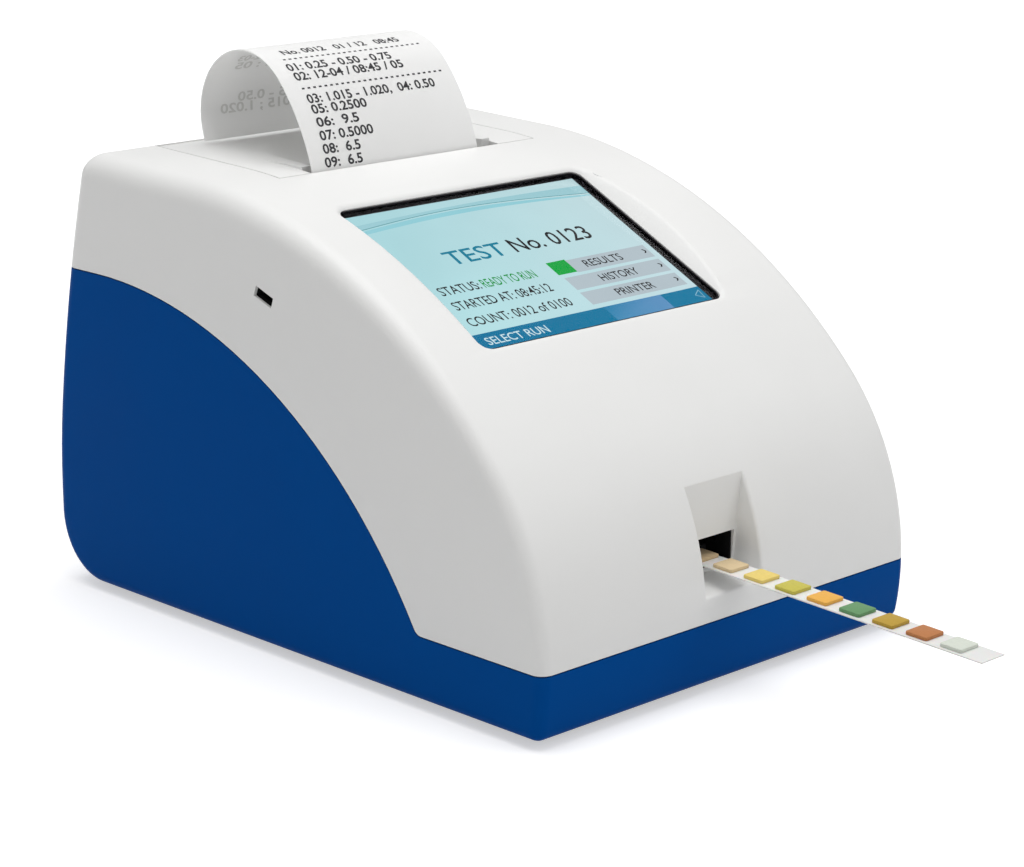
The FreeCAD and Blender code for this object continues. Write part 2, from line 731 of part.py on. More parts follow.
# Printer places: the paper stands against the left end of its slot
s.keep(
    paper_width=57.5, paper_middle=-4.65, paper_thick=0.25, lip_back=114.9, slot_gap=3.7,
    slot_left=34.2, slot_right=31.4, cover_half_width=44.4, cover_gap=0.3, cover_wall=2.5,
    hinge_back=162.6, hinge_height=111.3, knuckle_radius=7.2, hinge_pin_radius=1.5,
    hinge_boss_radius=3.6, hinge_boss_inner=45.2, hinge_boss_outer=49.8,
    hinge_ear_inner=39.3, hinge_ear_outer=43.9, hinge_boss_half=3, cover_open=60,
)
cover_x = about(NIL, s.cover_half_width * 2)
hinge = (s.hinge_back, s.hinge_height)
roof = s.rear_post_height + s.seam_height * 2 + s.overrun
hole_x = about(NIL, (s.cover_half_width + s.cover_gap) * 2)
hole_radius = s.knuckle_radius + s.cover_gap
open_cover = seat_in(box(hole_x, (s.lip_back - s.hinge_back, NIL), (NIL, hole_radius)),
                     (NIL, *hinge, -s.cover_open))
cover_hole = join(
    box(hole_x, (s.lip_back, s.hinge_back), (s.hinge_height, roof)),
    rod("x", hinge, hole_radius, hole_x),
    open_cover,
)
hinge_bosses = []
hinge_pilots = []
for inner, outer in ((s.hinge_boss_inner, s.hinge_boss_outer), (-s.hinge_boss_outer, -s.hinge_boss_inner)):
    boss_y = (s.hinge_back - s.hinge_boss_half, s.hinge_back + s.hinge_boss_half)
    hinge_bosses.append(box((inner, outer), boss_y, (s.hinge_height, roof)))
    hinge_bosses.append(rod("x", hinge, s.hinge_boss_radius, (inner, outer)))
    hinge_pilots.append(rod("x", hinge, s.hinge_pin_radius + s.run_gap, (inner, outer)))

# Data port in the left side: a slim socket behind a slot that falls towards the front
s.keep(
    side_port_back=96.2, side_port_height=92, side_port_lean=19.6, side_slot_width=6.8,
    side_slot_height=2.8, side_socket_depth=6, side_socket_wall=0.45, side_slot_depth=4.6,
    side_board_thick=1.2, side_board_width=16, side_board_depth=13, side_rib_thick=2,
)
side_seat = (NIL, s.side_port_back, s.side_port_height, s.side_port_lean)
side_y = about(NIL, s.side_slot_width)
side_z = about(NIL, s.side_slot_height)
outside_x = -half_width


def in_side_port(item):
    return seat_in(item, side_seat)


side_hole = in_side_port(box((outside_x - s.overrun, s.side_board_depth - half_width), side_y, side_z))
socket_x = (outside_x + s.wall, outside_x + s.wall + s.side_socket_depth)
wrap = s.side_socket_wall * 2
side_socket = cut(
    box(socket_x, about(NIL, s.side_slot_width + wrap), about(NIL, s.side_slot_height + wrap)),
    box((socket_x[0] - s.overrun, socket_x[0] + s.side_slot_depth), side_y, side_z),
)
finish_part(side_socket, "side_data_socket", side_seat)
side_board_x = (socket_x[0], socket_x[0] + s.side_board_depth)
side_board_z = (-(s.side_slot_height + wrap) / 2 - s.side_board_thick, -(s.side_slot_height + wrap) / 2)
side_board = new_body("side_port_board")
extrude(side_board, "xy", side_board_z, corners_of(side_board_x, about(NIL, s.side_board_width)))
finish_part(side_board, "side_port_board", side_seat)
side_ribs = []
for start in (-s.side_board_width / 2, s.side_board_width / 2 - s.side_rib_thick):
    rib_z = (side_board_z[0] - s.side_rib_thick, side_board_z[0])
    rib = box((outside_x + s.seam_gap, side_board_x[1]), (start, start + s.side_rib_thick), rib_z)
    side_ribs.append(in_side_port(rib))


# Top casing: the white upper shell
def surface_point(point, slack):
    """Whether a point of the front recess lies on the curved front, not inside it."""
    rise = point.z - float(s.front_height)
    front = float(s.front_radius) - math.sqrt(float(s.front_radius) ** 2 - rise ** 2)
    return abs(point.y - front) < slack


def lip_edges(shape):
    """The edges where the screen recess and the port recess meet the outer surface."""
    slack = float(s.seat_gap) / 2
    lean = math.radians(float(s.screen_lean))
    screen, port = [], []
    for number, edge in enumerate(shape.Edges):
        ends = [vertex.Point for vertex in edge.Vertexes]
        if len(ends) < 2:
            continue
        places = ends + [edge.valueAt((edge.FirstParameter + edge.LastParameter) / 2)]
        local = []
        for point in places:
            back, up = point.y - float(s.screen_back), point.z - float(s.screen_height)
            along = back * math.cos(lean) + up * math.sin(lean)
            local.append((abs(point.x - float(s.screen_middle)), abs(along),
                          up * math.cos(lean) - back * math.sin(lean)))
        half_w, half_l = float(s.opening_width) / 2 + slack, float(s.opening_length) / 2 + slack
        rim, widening = float(s.opening_rim), math.tan(math.radians(float(s.opening_flare)))
        if all(c > rim + slack and max(a - half_w, b - half_l) < (c - rim) * widening for a, b, c in local):
            screen.append(number + 1)
        within = all(abs(p.x) < float(s.port_width) / 2 + slack and p.z < float(port_high) for p in places)
        if within and all(surface_point(p, slack) and p.z > float(s.seam_height) for p in places):
            port.append(number + 1)
    return screen, port


carved = cut(outer_form, screen_recess, screen_flare, port_tool)
doc.recompute()
screen_edges, port_edges = lip_edges(carved.Shape)
soft_lips = doc.addObject("Part::Fillet", "soft_lips")
soft_lips.Base = carved
soft_lips.Edges = ([(number, float(s.screen_lip), float(s.screen_lip)) for number in screen_edges]
                   + [(number, float(s.port_lip), float(s.port_lip)) for number in port_edges])
cavity = cut(inner_form, ring_block, port_block)
lip_room = overlap(rounded_form(s.wall - s.lip_wall - s.seat_gap),
                   below_seam("lip_room", s.lip_height + s.seat_gap))
top_shell = cut(soft_lips, cavity, below_seam("over_seam", s.seam_gap / 2), lip_room, glass_pocket, mouth,
                cover_hole)
inside = overlap(outer_form, join(*(pairs_of(top_post) + screen_bosses + hinge_bosses)))
top_solid = join(top_shell, inside, *side_ribs)
top_casing = cut(top_solid, side_hole, *(pairs_of(post_bore) + boss_pilots + hinge_pilots))
finish_part(top_casing, "top_casing")

# Paper cover: a lid cut from the same form, with a ramp down to the slot and a hinge at its back
s.keep(
    ramp_depth=4, ramp_back=152, ramp_front_width=62, ramp_rear_width=48, ramp_wall=2,
    slot_step=1.2, platen_back=121.925, platen_height=104, platen_radius=5,
    platen_shaft_radius=2, platen_end_gap=0.5, cheek_thick=2.5, cheek_gap=0.3,
    cheek_width=7.4, cheek_drop=4.6, bush_radius=3.2,
)
platen = (s.platen_back, s.platen_height)
paper_x = about(s.paper_middle, s.paper_width)
cover_front = s.lip_back + s.slot_gap
rise_at_hinge = s.knuckle_radius + s.hinge_height
cover_zone = join(
    box(cover_x, (s.lip_back + s.cover_gap, s.hinge_back), (s.hinge_height, roof)),
    rod("x", hinge, s.knuckle_radius, cover_x),
)
cover_shell = overlap(cut(outer_form, inner_form), cover_zone)
ramp_low = rise_at_hinge - s.ramp_depth - s.slot_step
under_ramp = new_body("under_ramp")
extrude(under_ramp, "yz", about((s.slot_right - s.slot_left) / 2, s.slot_left + s.slot_right), [
    (cover_front, ramp_low - s.ramp_wall),
    (s.ramp_back, rise_at_hinge - s.cover_wall - s.ramp_wall / 2),
    (s.ramp_back, rise_at_hinge - s.slot_step),
    (cover_front, rise_at_hinge - s.slot_step),
])
ramp_side = new_body("ramp_side")
extrude(ramp_side, "yz", about((s.slot_right - s.slot_left) / 2, s.slot_left + s.slot_right), [
    (cover_front - s.overrun, ramp_low),
    (cover_front, ramp_low),
    (s.ramp_back, rise_at_hinge),
    (s.ramp_back, roof),
    (cover_front - s.overrun, roof),
])
ramp_plan = new_body("ramp_plan")
slot_middle = (s.slot_right - s.slot_left) / 2
extrude(ramp_plan, "xy", (s.hinge_height - s.overrun, roof), [
    (slot_middle - s.ramp_front_width / 2, cover_front - s.overrun),
    (slot_middle + s.ramp_front_width / 2, cover_front - s.overrun),
    (slot_middle + s.ramp_rear_width / 2, s.ramp_back),
    (slot_middle - s.ramp_rear_width / 2, s.ramp_back),
])
slot_notch = box((-s.slot_left, s.slot_right), (s.lip_back - s.overrun, cover_front),
                 (s.hinge_height - s.overrun, roof))
roller_x = (paper_x[0] - s.platen_end_gap, paper_x[1] + s.platen_end_gap)
left_cheek = (roller_x[0] - s.cheek_gap - s.cheek_thick, roller_x[0] - s.cheek_gap)
right_cheek = (roller_x[1] + s.cheek_gap, roller_x[1] + s.cheek_gap + s.cheek_thick)
cheek_y = about(s.platen_back + s.seat_gap, s.cheek_width)
cheeks = []
bush_bores = []
for cheek_x in (left_cheek, right_cheek):
    cheeks.append(overlap(outer_form, box(cheek_x, cheek_y, (s.platen_height - s.cheek_drop, roof))))
    bush_bores.append(rod("x", platen, s.bush_radius, cheek_x))
ears = []
ear_bores = []
for ear_x in ((s.hinge_ear_inner, s.hinge_ear_outer), (-s.hinge_ear_outer, -s.hinge_ear_inner)):
    ear_y = (s.hinge_back - s.hinge_boss_half, s.hinge_back)
    ears.append(overlap(outer_form, box(ear_x, ear_y, (s.hinge_height, roof))))
    ears.append(rod("x", hinge, s.hinge_boss_radius, ear_x))
    ear_bores.append(rod("x", hinge, s.hinge_pin_radius + s.run_gap, ear_x))
cover_solid = join(cover_shell, under_ramp, *(cheeks + ears))
paper_cover = cut(cover_solid, overlap(ramp_side, ramp_plan), slot_notch, *(bush_bores + ear_bores))
finish_part(paper_cover, "paper_cover")
finish_part(rod("x", hinge, s.hinge_pin_radius, about(NIL, (s.hinge_boss_outer - s.seat_gap) * 2)),
            "cover_hinge_pin")

# Platen roller: rubber on a steel shaft, in two bushes on the cover, with a gear at its right end
s.keep(
    gear_module=0.6, platen_teeth=16, idler_teeth=24, pinion_teeth=10, gear_width=3.2,
    gear_backlash=0.1, gear_side_gap=0.7, frame_sheet=1.2, frame_gap=0.5, shaft_end=0.6,
)
bushes = [cut(rod("x", platen, s.bush_radius, span),
              rod("x", platen, s.platen_shaft_radius + s.run_gap, span))
          for span in (left_cheek, right_cheek)]
finish_part(group(*bushes), "platen_bushes")
left_sheet = (left_cheek[0] - s.frame_gap - s.frame_sheet, left_cheek[0] - s.frame_gap)
right_sheet = (right_cheek[1] + s.frame_gap, right_cheek[1] + s.frame_gap + s.frame_sheet)
gear_x = (right_sheet[1] + s.gear_side_gap, right_sheet[1] + s.gear_side_gap + s.gear_width)
platen_shaft = rod("x", platen, s.platen_shaft_radius, (left_sheet[0] - s.shaft_end, gear_x[1] + s.shaft_end))
finish_part(platen_shaft, "platen_shaft")
sleeve = cut(rod("x", platen, s.platen_radius, roller_x), rod("x", platen, s.platen_shaft_radius, roller_x))
finish_part(sleeve, "platen_roller")


# Tooth form: heights as shares of the module, half widths as shares of the pitch
tip_high_share, root_deep_share = 0.85, 1.1
tip_width_share, root_width_share = 0.13, 0.31


def toothed_wheel(plane, middle, teeth, module, width, bore, tooth_angle):
    """A spur gear with straight-sided teeth, one of which points along an angle in its plane."""
    count = int(round(float(teeth)))
    pitch_radius = count * float(module) / 2
    tip, root = pitch_radius + tip_high_share * float(module), pitch_radius - root_deep_share * float(module)
    step = math.tau / count
    points = []
    for number in range(count):
        at = math.radians(tooth_angle) + number * step
        for radius, share in ((root, -root_width_share), (tip, -tip_width_share),
                              (tip, tip_width_share), (root, root_width_share)):
            angle = at + share * step
            points.append((radius * math.cos(angle), radius * math.sin(angle)))
    points.append(points[0])
    if plane == "yz":
        corners, axis = [V(0, u, v) for u, v in points], V(1, 0, 0)
    else:
        corners, axis = [V(u, v, 0) for u, v in points], V(0, 0, 1)
    wheel = Part.Face(Part.makePolygon(corners)).extrude(axis * float(width))
    if float(bore) > 0:
        wheel = wheel.cut(Part.makeCylinder(float(bore), float(width), V(), axis))
    gear = doc.addObject("Part::Feature", "gear")
    gear.Shape = wheel
    for letter, place in zip("xyz", middle):
        bind(gear, "Placement.Base." + letter, place)
    return gear


def pitch_radius(teeth):
    return s.gear_module * teeth / 2


upwards, backwards = math.degrees(math.pi / 2), math.degrees(math.pi)
half_pitch = backwards / float(s.platen_teeth)
platen_gear = toothed_wheel("yz", (gear_x[0], *platen), s.platen_teeth, s.gear_module, s.gear_width,
                            s.platen_shaft_radius, half_pitch - upwards)
finish_part(group(platen_gear), "platen_gear")

# Idler and motor of the paper feed, on the printer's steel frame
s.keep(
    idler_pin_radius=1.5, pinion_direction=195, motor_radius=7.5, motor_length=12,
    motor_shaft_radius=1, outer_sheet_low=80, outer_sheet_high=99, sheet_front=104.4,
    sheet_back=127.4, deck_height=56.5, deck_thick=1.5, head_gap=0.35, head_height=8,
    head_thick=1.2, sink_thick=2.6, spring_length=5, spring_radius=2, beam_height=11,
    head_margin=1, spring_across=18, spring_wire=0.6,
)
idler_z = s.platen_height - pitch_radius(s.platen_teeth) - pitch_radius(s.idler_teeth) - s.gear_backlash
idler = (s.platen_back, idler_z)
idler_gear = toothed_wheel("yz", (gear_x[0], *idler), s.idler_teeth, s.gear_module, s.gear_width,
                           s.idler_pin_radius + s.run_gap, upwards)
finish_part(group(idler_gear), "idler_gear")
pinion_reach = pitch_radius(s.idler_teeth) + pitch_radius(s.pinion_teeth) + s.gear_backlash
pinion = (s.platen_back + pinion_reach * cosine(s.pinion_direction),
          idler_z + pinion_reach * sine(s.pinion_direction))
pinion_tooth = float(s.pinion_direction) + backwards + backwards / float(s.pinion_teeth)
outer_sheet = (gear_x[1] + s.gear_side_gap, gear_x[1] + s.gear_side_gap + s.frame_sheet)
pinion_wheel = toothed_wheel("yz", (gear_x[0], *pinion), s.pinion_teeth, s.gear_module, s.gear_width,
                             NIL, pinion_tooth)
motor_x = (outer_sheet[1], outer_sheet[1] + s.motor_length)
pinion_shaft = rod("x", pinion, s.motor_shaft_radius, (gear_x[0], motor_x[0] + s.motor_length / 2))
finish_part(join(pinion_wheel, pinion_shaft), "motor_pinion")
motor_can = rod("x", pinion, s.motor_radius, motor_x)
motor_bore = rod("x", pinion, s.motor_shaft_radius + s.run_gap,
                 (motor_x[0] - s.overrun, motor_x[0] + s.motor_length / 2 + s.seat_gap))
finish_part(cut(motor_can, motor_bore), "printer_motor")
finish_part(rod("x", idler, s.idler_pin_radius, (right_sheet[0], outer_sheet[1])), "idler_pin")

deck_top = s.deck_height + s.deck_thick
sheet_y = (s.sheet_front, s.sheet_back)
sheet_high = s.platen_height + s.platen_shaft_radius * 1.25
left_wall = box(left_sheet, sheet_y, (deck_top, sheet_high))
right_wall = box(right_sheet, sheet_y, (deck_top, sheet_high))
bottom_wall = box((left_sheet[0], right_sheet[1]), sheet_y, (deck_top, deck_top + s.frame_sheet))
outer_wall = box(outer_sheet, sheet_y, (s.outer_sheet_low, s.outer_sheet_high))
bridge = box((right_sheet[0], outer_sheet[1]), sheet_y, (s.outer_sheet_low, s.outer_sheet_low + s.frame_sheet))
beam_z = about(s.platen_height - s.head_height / 2, s.beam_height)
beam = box((left_sheet[0], right_sheet[1]), (s.sheet_front, s.sheet_front + s.frame_sheet), beam_z)
shaft_room = s.platen_shaft_radius + s.seat_gap
notches = []
for sheet_x in (left_sheet, right_sheet):
    notches.append(rod("x", platen, shaft_room, sheet_x))
    notches.append(box(sheet_x, about(s.platen_back, shaft_room * 2), (s.platen_height, sheet_high + s.overrun)))
frame_bores = [
    rod("x", idler, s.idler_pin_radius, (right_sheet[0], outer_sheet[1])),
    rod("x", pinion, s.motor_shaft_radius * 2, (outer_sheet[0], outer_sheet[1])),
]
printer_frame = cut(join(left_wall, right_wall, bottom_wall, outer_wall, bridge, beam),
                    *(notches + frame_bores))
finish_part(printer_frame, "printer_frame")

# Print head: a ceramic heater on an aluminium block, pressed back by two springs
paper_front = s.platen_back - s.platen_radius - s.seat_gap - s.paper_thick
head_y = paper_front - s.head_gap
head_z = (s.platen_height - s.head_height, s.platen_height + s.head_height / 4)
head_x = (paper_x[0] + s.head_margin, paper_x[1] - s.head_margin)
sink_y = (head_y - s.head_thick - s.sink_thick, head_y - s.head_thick)
finish_part(box(head_x, (sink_y[1], head_y), head_z), "print_head")
finish_part(box(head_x, sink_y, head_z), "head_heatsink")
spring_y = (s.sheet_front + s.frame_sheet, sink_y[0])
head_springs = []
for across in (s.spring_across, -s.spring_across):
    place = (s.paper_middle + across, s.platen_height - s.head_height / 2)
    head_springs.append(cut(rod("y", place, s.spring_radius, spring_y),
                            rod("y", place, s.spring_radius - s.spring_wire, spring_y)))
finish_part(group(*head_springs), "head_springs")

# Paper: a roll on its spindle, the web up to the print head, and the printout that loops over the cover
s.keep(
    roll_back=144, roll_height=84, roll_radius=20, core_radius=8, core_wall=1.6,
    journal_radius=3, bin_wall=2, bin_side_gap=0.8, bin_roll_gap=2, bin_front=128.6,
    bin_back=167.6, bin_high=100, journal_gap=0.3, printout_lead=9.5, printout_lead_angle=95,
    lip_bend=8, lip_bend_angle=73, rise_bend=55, rise_bend_angle=48, crest_bend=20,
    crest_bend_angle=8, fall_bend=18, fall_bend_angle=-104, printout_tail=3.3,
)
roll = (s.roll_back, s.roll_height)
paper_roll = cut(rod("x", roll, s.roll_radius, paper_x), rod("x", roll, s.core_radius, paper_x))
finish_part(paper_roll, "paper_roll")
core_bore = s.core_radius - s.core_wall
finish_part(cut(rod("x", roll, s.core_radius, paper_x), rod("x", roll, core_bore, paper_x)), "roll_core")
bin_inner = (paper_x[0] - s.bin_side_gap, paper_x[1] + s.bin_side_gap)
bin_outer = (bin_inner[0] - s.bin_wall, bin_inner[1] + s.bin_wall)
spindle = join(
    rod("x", roll, core_bore - s.run_gap, paper_x),
    rod("x", roll, s.journal_radius, (bin_outer[0] - s.journal_gap, bin_outer[1] + s.journal_gap)),
)
finish_part(spindle, "roll_spindle")
trough_radius = s.roll_radius + s.bin_roll_gap
bin_block = box(bin_outer, (s.bin_front, s.bin_back), (deck_top, s.bin_high))
journal_room = s.journal_radius + s.journal_gap
bin_tools = [
    rod("x", roll, trough_radius, bin_inner),
    box(bin_inner, (s.bin_front - s.overrun, s.roll_back + trough_radius), (s.roll_height, s.bin_high + s.overrun)),
    rod("x", roll, journal_room, bin_outer),
    box(bin_outer, about(s.roll_back, journal_room * 2), (s.roll_height, s.bin_high + s.overrun)),
]
finish_part(cut(bin_block, *bin_tools), "paper_bin")


def strip_of_paper(label, start, heading, bends, tail):
    """A thin sheet along a chain of tangent arcs: each bend has a radius and the heading it ends at."""
    half = float(s.paper_thick) / 2
    sides = {half: [], -half: []}
    y, z = start
    angle = math.radians(heading)

    def shifted(offset):
        return V(0, y - offset * math.sin(angle), z + offset * math.cos(angle))

    def run(length):
        nonlocal y, z
        before = [shifted(offset) for offset in sides]
        y, z = y + length * math.cos(angle), z + length * math.sin(angle)
        for offset, point in zip(sides, before):
            sides[offset].append(Part.LineSegment(point, shifted(offset)).toShape())

    for radius, end_heading in bends:
        if radius == 0:
            run(end_heading)
            continue
        first = angle
        centre = (y + radius * math.sin(angle), z - radius * math.cos(angle))
        before = [shifted(offset) for offset in sides]
        half_way = (first + math.radians(end_heading)) / 2
        middles = []
        for offset in sides:
            reach = radius + offset
            middles.append(V(0, centre[0] - reach * math.sin(half_way), centre[1] + reach * math.cos(half_way)))
        angle = math.radians(end_heading)
        y, z = centre[0] - radius * math.sin(angle), centre[1] + radius * math.cos(angle)
        for number, offset in enumerate(sides):
            curve = Part.Arc(before[number], middles[number], shifted(offset))
            sides[offset].append(curve.toShape())
    run(tail)
    near, far = sides[half], sides[-half]
    ends = [Part.LineSegment(near[0].firstVertex().Point, far[0].firstVertex().Point).toShape(),
            Part.LineSegment(near[-1].lastVertex().Point, far[-1].lastVertex().Point).toShape()]
    wire = Part.Wire(Part.__sortEdges__(near + far + ends))
    sheet_of_paper = doc.addObject("Part::Feature", "paper")
    sheet_of_paper.Shape = Part.Face(wire).extrude(V(float(s.paper_width), 0, 0))
    bind(sheet_of_paper, "Placement.Base.x", paper_x[0])
    finish_part(group(sheet_of_paper), label)


nip_y = float(paper_front + s.paper_thick / 2)
nip_z = float(s.platen_height)
web_gap = float(s.paper_thick) * 2
bends = [(0, float(s.printout_lead))]
for radius, turn in ((s.lip_bend, s.lip_bend_angle), (s.rise_bend, s.rise_bend_angle),
                     (s.crest_bend, s.crest_bend_angle), (s.fall_bend, s.fall_bend_angle)):
    bends.append((float(radius), float(turn)))
strip_of_paper("printout", (nip_y, nip_z + web_gap * 1.5), float(s.printout_lead_angle), bends,
               float(s.printout_tail))
away_y, away_z = float(s.roll_back) - nip_y, float(s.roll_height) - nip_z
reach = math.hypot(away_y, away_z)
clear_radius = float(s.roll_radius + s.seat_gap + s.paper_thick / 2)
down_angle = math.atan2(away_z, away_y) - math.asin(clear_radius / reach)
web_length = math.sqrt(reach ** 2 - clear_radius ** 2)
web_foot = (nip_y + web_length * math.cos(down_angle), nip_z + web_length * math.sin(down_angle))
strip_of_paper("paper_web", web_foot, math.degrees(down_angle + math.pi), [], web_length + web_gap)

# Deck that carries the printer and the bin, on four pillars from the base casing's floor
s.keep(
    deck_width=121, deck_front=100, deck_back=172, pillar_inset=8.5, pillar_radius=3,
    front_pillar=105, rear_pillar=166.5, deck_notch=5.2, deck_screw_radius=1.5,
    deck_screw_length=7, deck_screw_head=2.8, deck_screw_head_height=1.6,
)
deck = new_body("deck")
deck_z = (s.deck_height, deck_top)
extrude(deck, "xy", deck_z, corners_of(about(NIL, s.deck_width), (s.deck_front, s.deck_back)))
for side in (post_x, -post_x):
    extrude(deck, "xy", deck_z, ((side, s.rear_post_back), s.deck_notch), True)
pillar_places = [(side, back) for side in (half_width - s.pillar_inset, s.pillar_inset - half_width)
                 for back in (s.front_pillar, s.rear_pillar)]
for place in pillar_places:
    extrude(deck, "xy", deck_z, (place, s.deck_screw_radius + s.run_gap), True)
finish_part(deck, "printer_deck")


def pillar(place):
    bore = rod("z", place, s.deck_screw_radius + s.run_gap, (s.deck_height - s.deck_screw_length, s.deck_height))
    return cut(rod("z", place, s.pillar_radius, (floor_top, s.deck_height)), bore)


def deck_screw(place):
    head = rod("z", place, s.deck_screw_head, (deck_top, deck_top + s.deck_screw_head_height))
    shank = rod("z", place, s.deck_screw_radius, (deck_top - s.deck_screw_length, deck_top))
    return join(head, shank)


finish_part(group(*[pillar(place) for place in pillar_places]), "deck_pillars")
finish_part(group(*[deck_screw(place) for place in pillar_places]), "deck_screws")

# Circuit boards, their screws and the sockets along their back edge
boards = (
    ("main_board", (-s.main_board_outer, -s.main_board_inner), s.main_board_front, main_posts),
    ("connector_board", (s.port_board_inner, s.port_board_outer), s.io_board_front, io_posts),
)
for label, board_x, front, places in boards:
    board = new_body(label)
    extrude(board, "xy", (s.board_height, board_top), corners_of(board_x, (front, board_back)))
    for place in places:
        extrude(board, "xy", (s.board_height, board_top), (place, s.board_screw_radius + s.run_gap), True)
    finish_part(board, label)
board_screws = []
for place in board_posts:
    head = rod("z", place, s.board_screw_head, (board_top, board_top + s.board_screw_head_height))
    board_screws.append(join(head, rod("z", place, s.board_screw_radius,
                                       (board_top - s.board_screw_length, board_top))))
finish_part(group(*board_screws), "board_screws")

s.keep(
    processor_x=-33, processor_back=86, processor_size=18, chip_height=1.6, memory_back=60,
    memory_width=14, memory_length=9, capacitor_radius=4, capacitor_height=11, capacitor_x=27,
    capacitor_back=126, capacitor_pitch=10, coil_x=44, coil_size=9, coil_height=5,
    header_x=-18, header_back=110, header_width=5, header_length=22, header_height=7,
)
chips = [
    box(about(s.processor_x, s.processor_size), about(s.processor_back, s.processor_size),
        (board_top, board_top + s.chip_height)),
    box(about(s.processor_x, s.memory_width), about(s.memory_back, s.memory_length),
        (board_top, board_top + s.chip_height)),
    box(about(s.header_x, s.header_width), about(s.header_back, s.header_length),
        (board_top, board_top + s.header_height)),
    rod("z", (s.capacitor_x, s.capacitor_back), s.capacitor_radius,
        (board_top, board_top + s.capacitor_height)),
    rod("z", (s.capacitor_x, s.capacitor_back + s.capacitor_pitch), s.capacitor_radius,
        (board_top, board_top + s.capacitor_height)),
    box(about(s.coil_x, s.coil_size), about(s.capacitor_back, s.coil_size),
        (board_top, board_top + s.coil_height)),
]
finish_part(group(*chips), "board_components")
socket_face = panel_y - s.socket_back_gap
s.keep(socket_wall=0.6, usb_tongue=1.8, usb_tongue_width=11, square_tongue=3.2, square_tongue_width=5.6,
       socket_floor=3)


def socket(x, width, height, depth, tongue_width, tongue_height):
    """A square metal shell, open at the back, with a tongue inside."""
    middle = board_top + height / 2
    shell_y = (socket_face - depth, socket_face)
    shell = box(about(x, width), shell_y, (board_top, board_top + height))
    room = box(about(x, width - s.socket_wall * 2), (shell_y[0] + s.socket_floor, socket_face + s.overrun),
               about(middle, height - s.socket_wall * 2))
    tongue = box(about(x, tongue_width), (shell_y[0], socket_face - s.socket_wall), about(middle, tongue_height))
    return join(cut(shell, room), tongue)


square_socket = socket(s.usb_b_x, s.usb_b_width, s.usb_b_height, s.usb_b_depth,
                       s.square_tongue_width, s.square_tongue)
finish_part(square_socket, "computer_socket")
finish_part(group(
    socket(s.usb_a_x, s.usb_a_width, s.usb_a_height, s.usb_a_depth, s.usb_tongue_width, s.usb_tongue),
    socket(s.service_x, s.service_width, s.usb_a_height, s.usb_a_depth, s.usb_tongue_width, s.usb_tongue),
), "accessory_sockets")
jack_middle = (s.power_jack_x, board_top + s.power_jack_height / 2)
jack_y = (socket_face - s.power_jack_depth, socket_face)
jack_block = box(about(s.power_jack_x, s.power_jack_width), jack_y, (board_top, board_top + s.power_jack_height))
jack_bore = rod("y", jack_middle, s.jack_bore, (socket_face - s.jack_hole_depth, socket_face))
jack_pin = rod("y", jack_middle, s.jack_pin, (socket_face - s.jack_hole_depth, socket_face - s.socket_wall))
finish_part(join(cut(jack_block, jack_bore), jack_pin), "power_jack")

# Power switch: a housing snapped into the panel and a rocker that tips about a pin across it
s.keep(
    rocker_length=15, rocker_width=10.6, rocker_pivot=1.4, rocker_face=3.4, rocker_crown=0.8,
    rocker_root=2.4, rocker_tip=9, rocker_pin_radius=0.8, rocker_window=17,
)
switch_x = about(s.switch_x, s.switch_width + s.switch_wall * 2 - s.seat_gap)
switch_z = about(s.switch_height, s.switch_tall + s.switch_wall * 2 - s.seat_gap)
flange_x = about(s.switch_x, s.switch_width + s.switch_flange * 2 + s.switch_wall)
flange_z = about(s.switch_height, s.switch_tall + s.switch_flange * 2 + s.switch_wall)
switch_block = join(
    box(switch_x, (panel_y - s.switch_depth, panel_y), switch_z),
    box(flange_x, (panel_y, panel_y + s.switch_flange_thick), flange_z),
)
window_x = about(s.switch_x, s.rocker_width + s.seat_gap * 2)
window = box(window_x, (panel_y - s.switch_depth + s.switch_wall, panel_y + s.overrun),
             about(s.switch_height, s.rocker_window))
pivot = (panel_y - s.rocker_pivot, s.switch_height)
pin_x = about(s.switch_x, s.switch_width + s.switch_wall)
pin_bore = rod("x", pivot, s.rocker_pin_radius + s.run_gap, pin_x)
finish_part(cut(switch_block, window, pin_bore), "switch_housing")
rocker = new_body("rocker")
half_rocker = s.rocker_length / 2
extrude(rocker, "yz", about(s.switch_x, s.rocker_width), [
    (-s.rocker_root, -half_rocker * 0.5),
    (NIL, -half_rocker),
    (s.rocker_face - s.rocker_crown, -half_rocker),
    (s.rocker_face, NIL),
    (s.rocker_face - s.rocker_crown, half_rocker),
    (NIL, half_rocker),
    (-s.rocker_root, half_rocker * 0.5),
])
rocker_turned = seat_in(join(rocker, rod("x", (NIL, NIL), s.rocker_pin_radius, pin_x)),
                        (NIL, pivot[0], pivot[1], -s.rocker_tip))
finish_part(group(rocker_turned), "power_rocker")

# Strip drive, drawn flat in the strip's leaning frame: Y runs inwards along the strip, Z is its normal
s.keep(
    strip_outside=84, strip_inside=37, strip_width=8.4, strip_thick=0.3, strip_middle=0.2,
    pad_count=10, pad_pitch=9.8, pad_first=13.7, pad_length=6.1, pad_width=6.7, pad_thick=0.9,
    carriage_front=8, carriage_back=94, carriage_half=6.5, carriage_thick=2.4, rail_width=2,
    rail_height=1.2, clip_front=30, clip_length=6, clip_height=2.2, rack_module=0.8,
    rack_line=8.7, rack_front=9, drive_back=90, drive_teeth=16, guide_front=7.6,
    guide_back=174, guide_wall=2, guide_left=6.8, guide_right=9.8, guide_height=1.6,
    guide_leg_length=6, front_leg=12, middle_leg=72, rear_leg=150, leg_width=3,
    drive_window=14, flange_thick=1.5, flange_right=24, drive_motor_length=18,
    drive_shaft_depth=9, pinion_rise=0.2,
)
strip_x = about(s.strip_middle, s.strip_width)
test_strip = box(strip_x, (-s.strip_outside, s.strip_inside), (NIL, s.strip_thick))
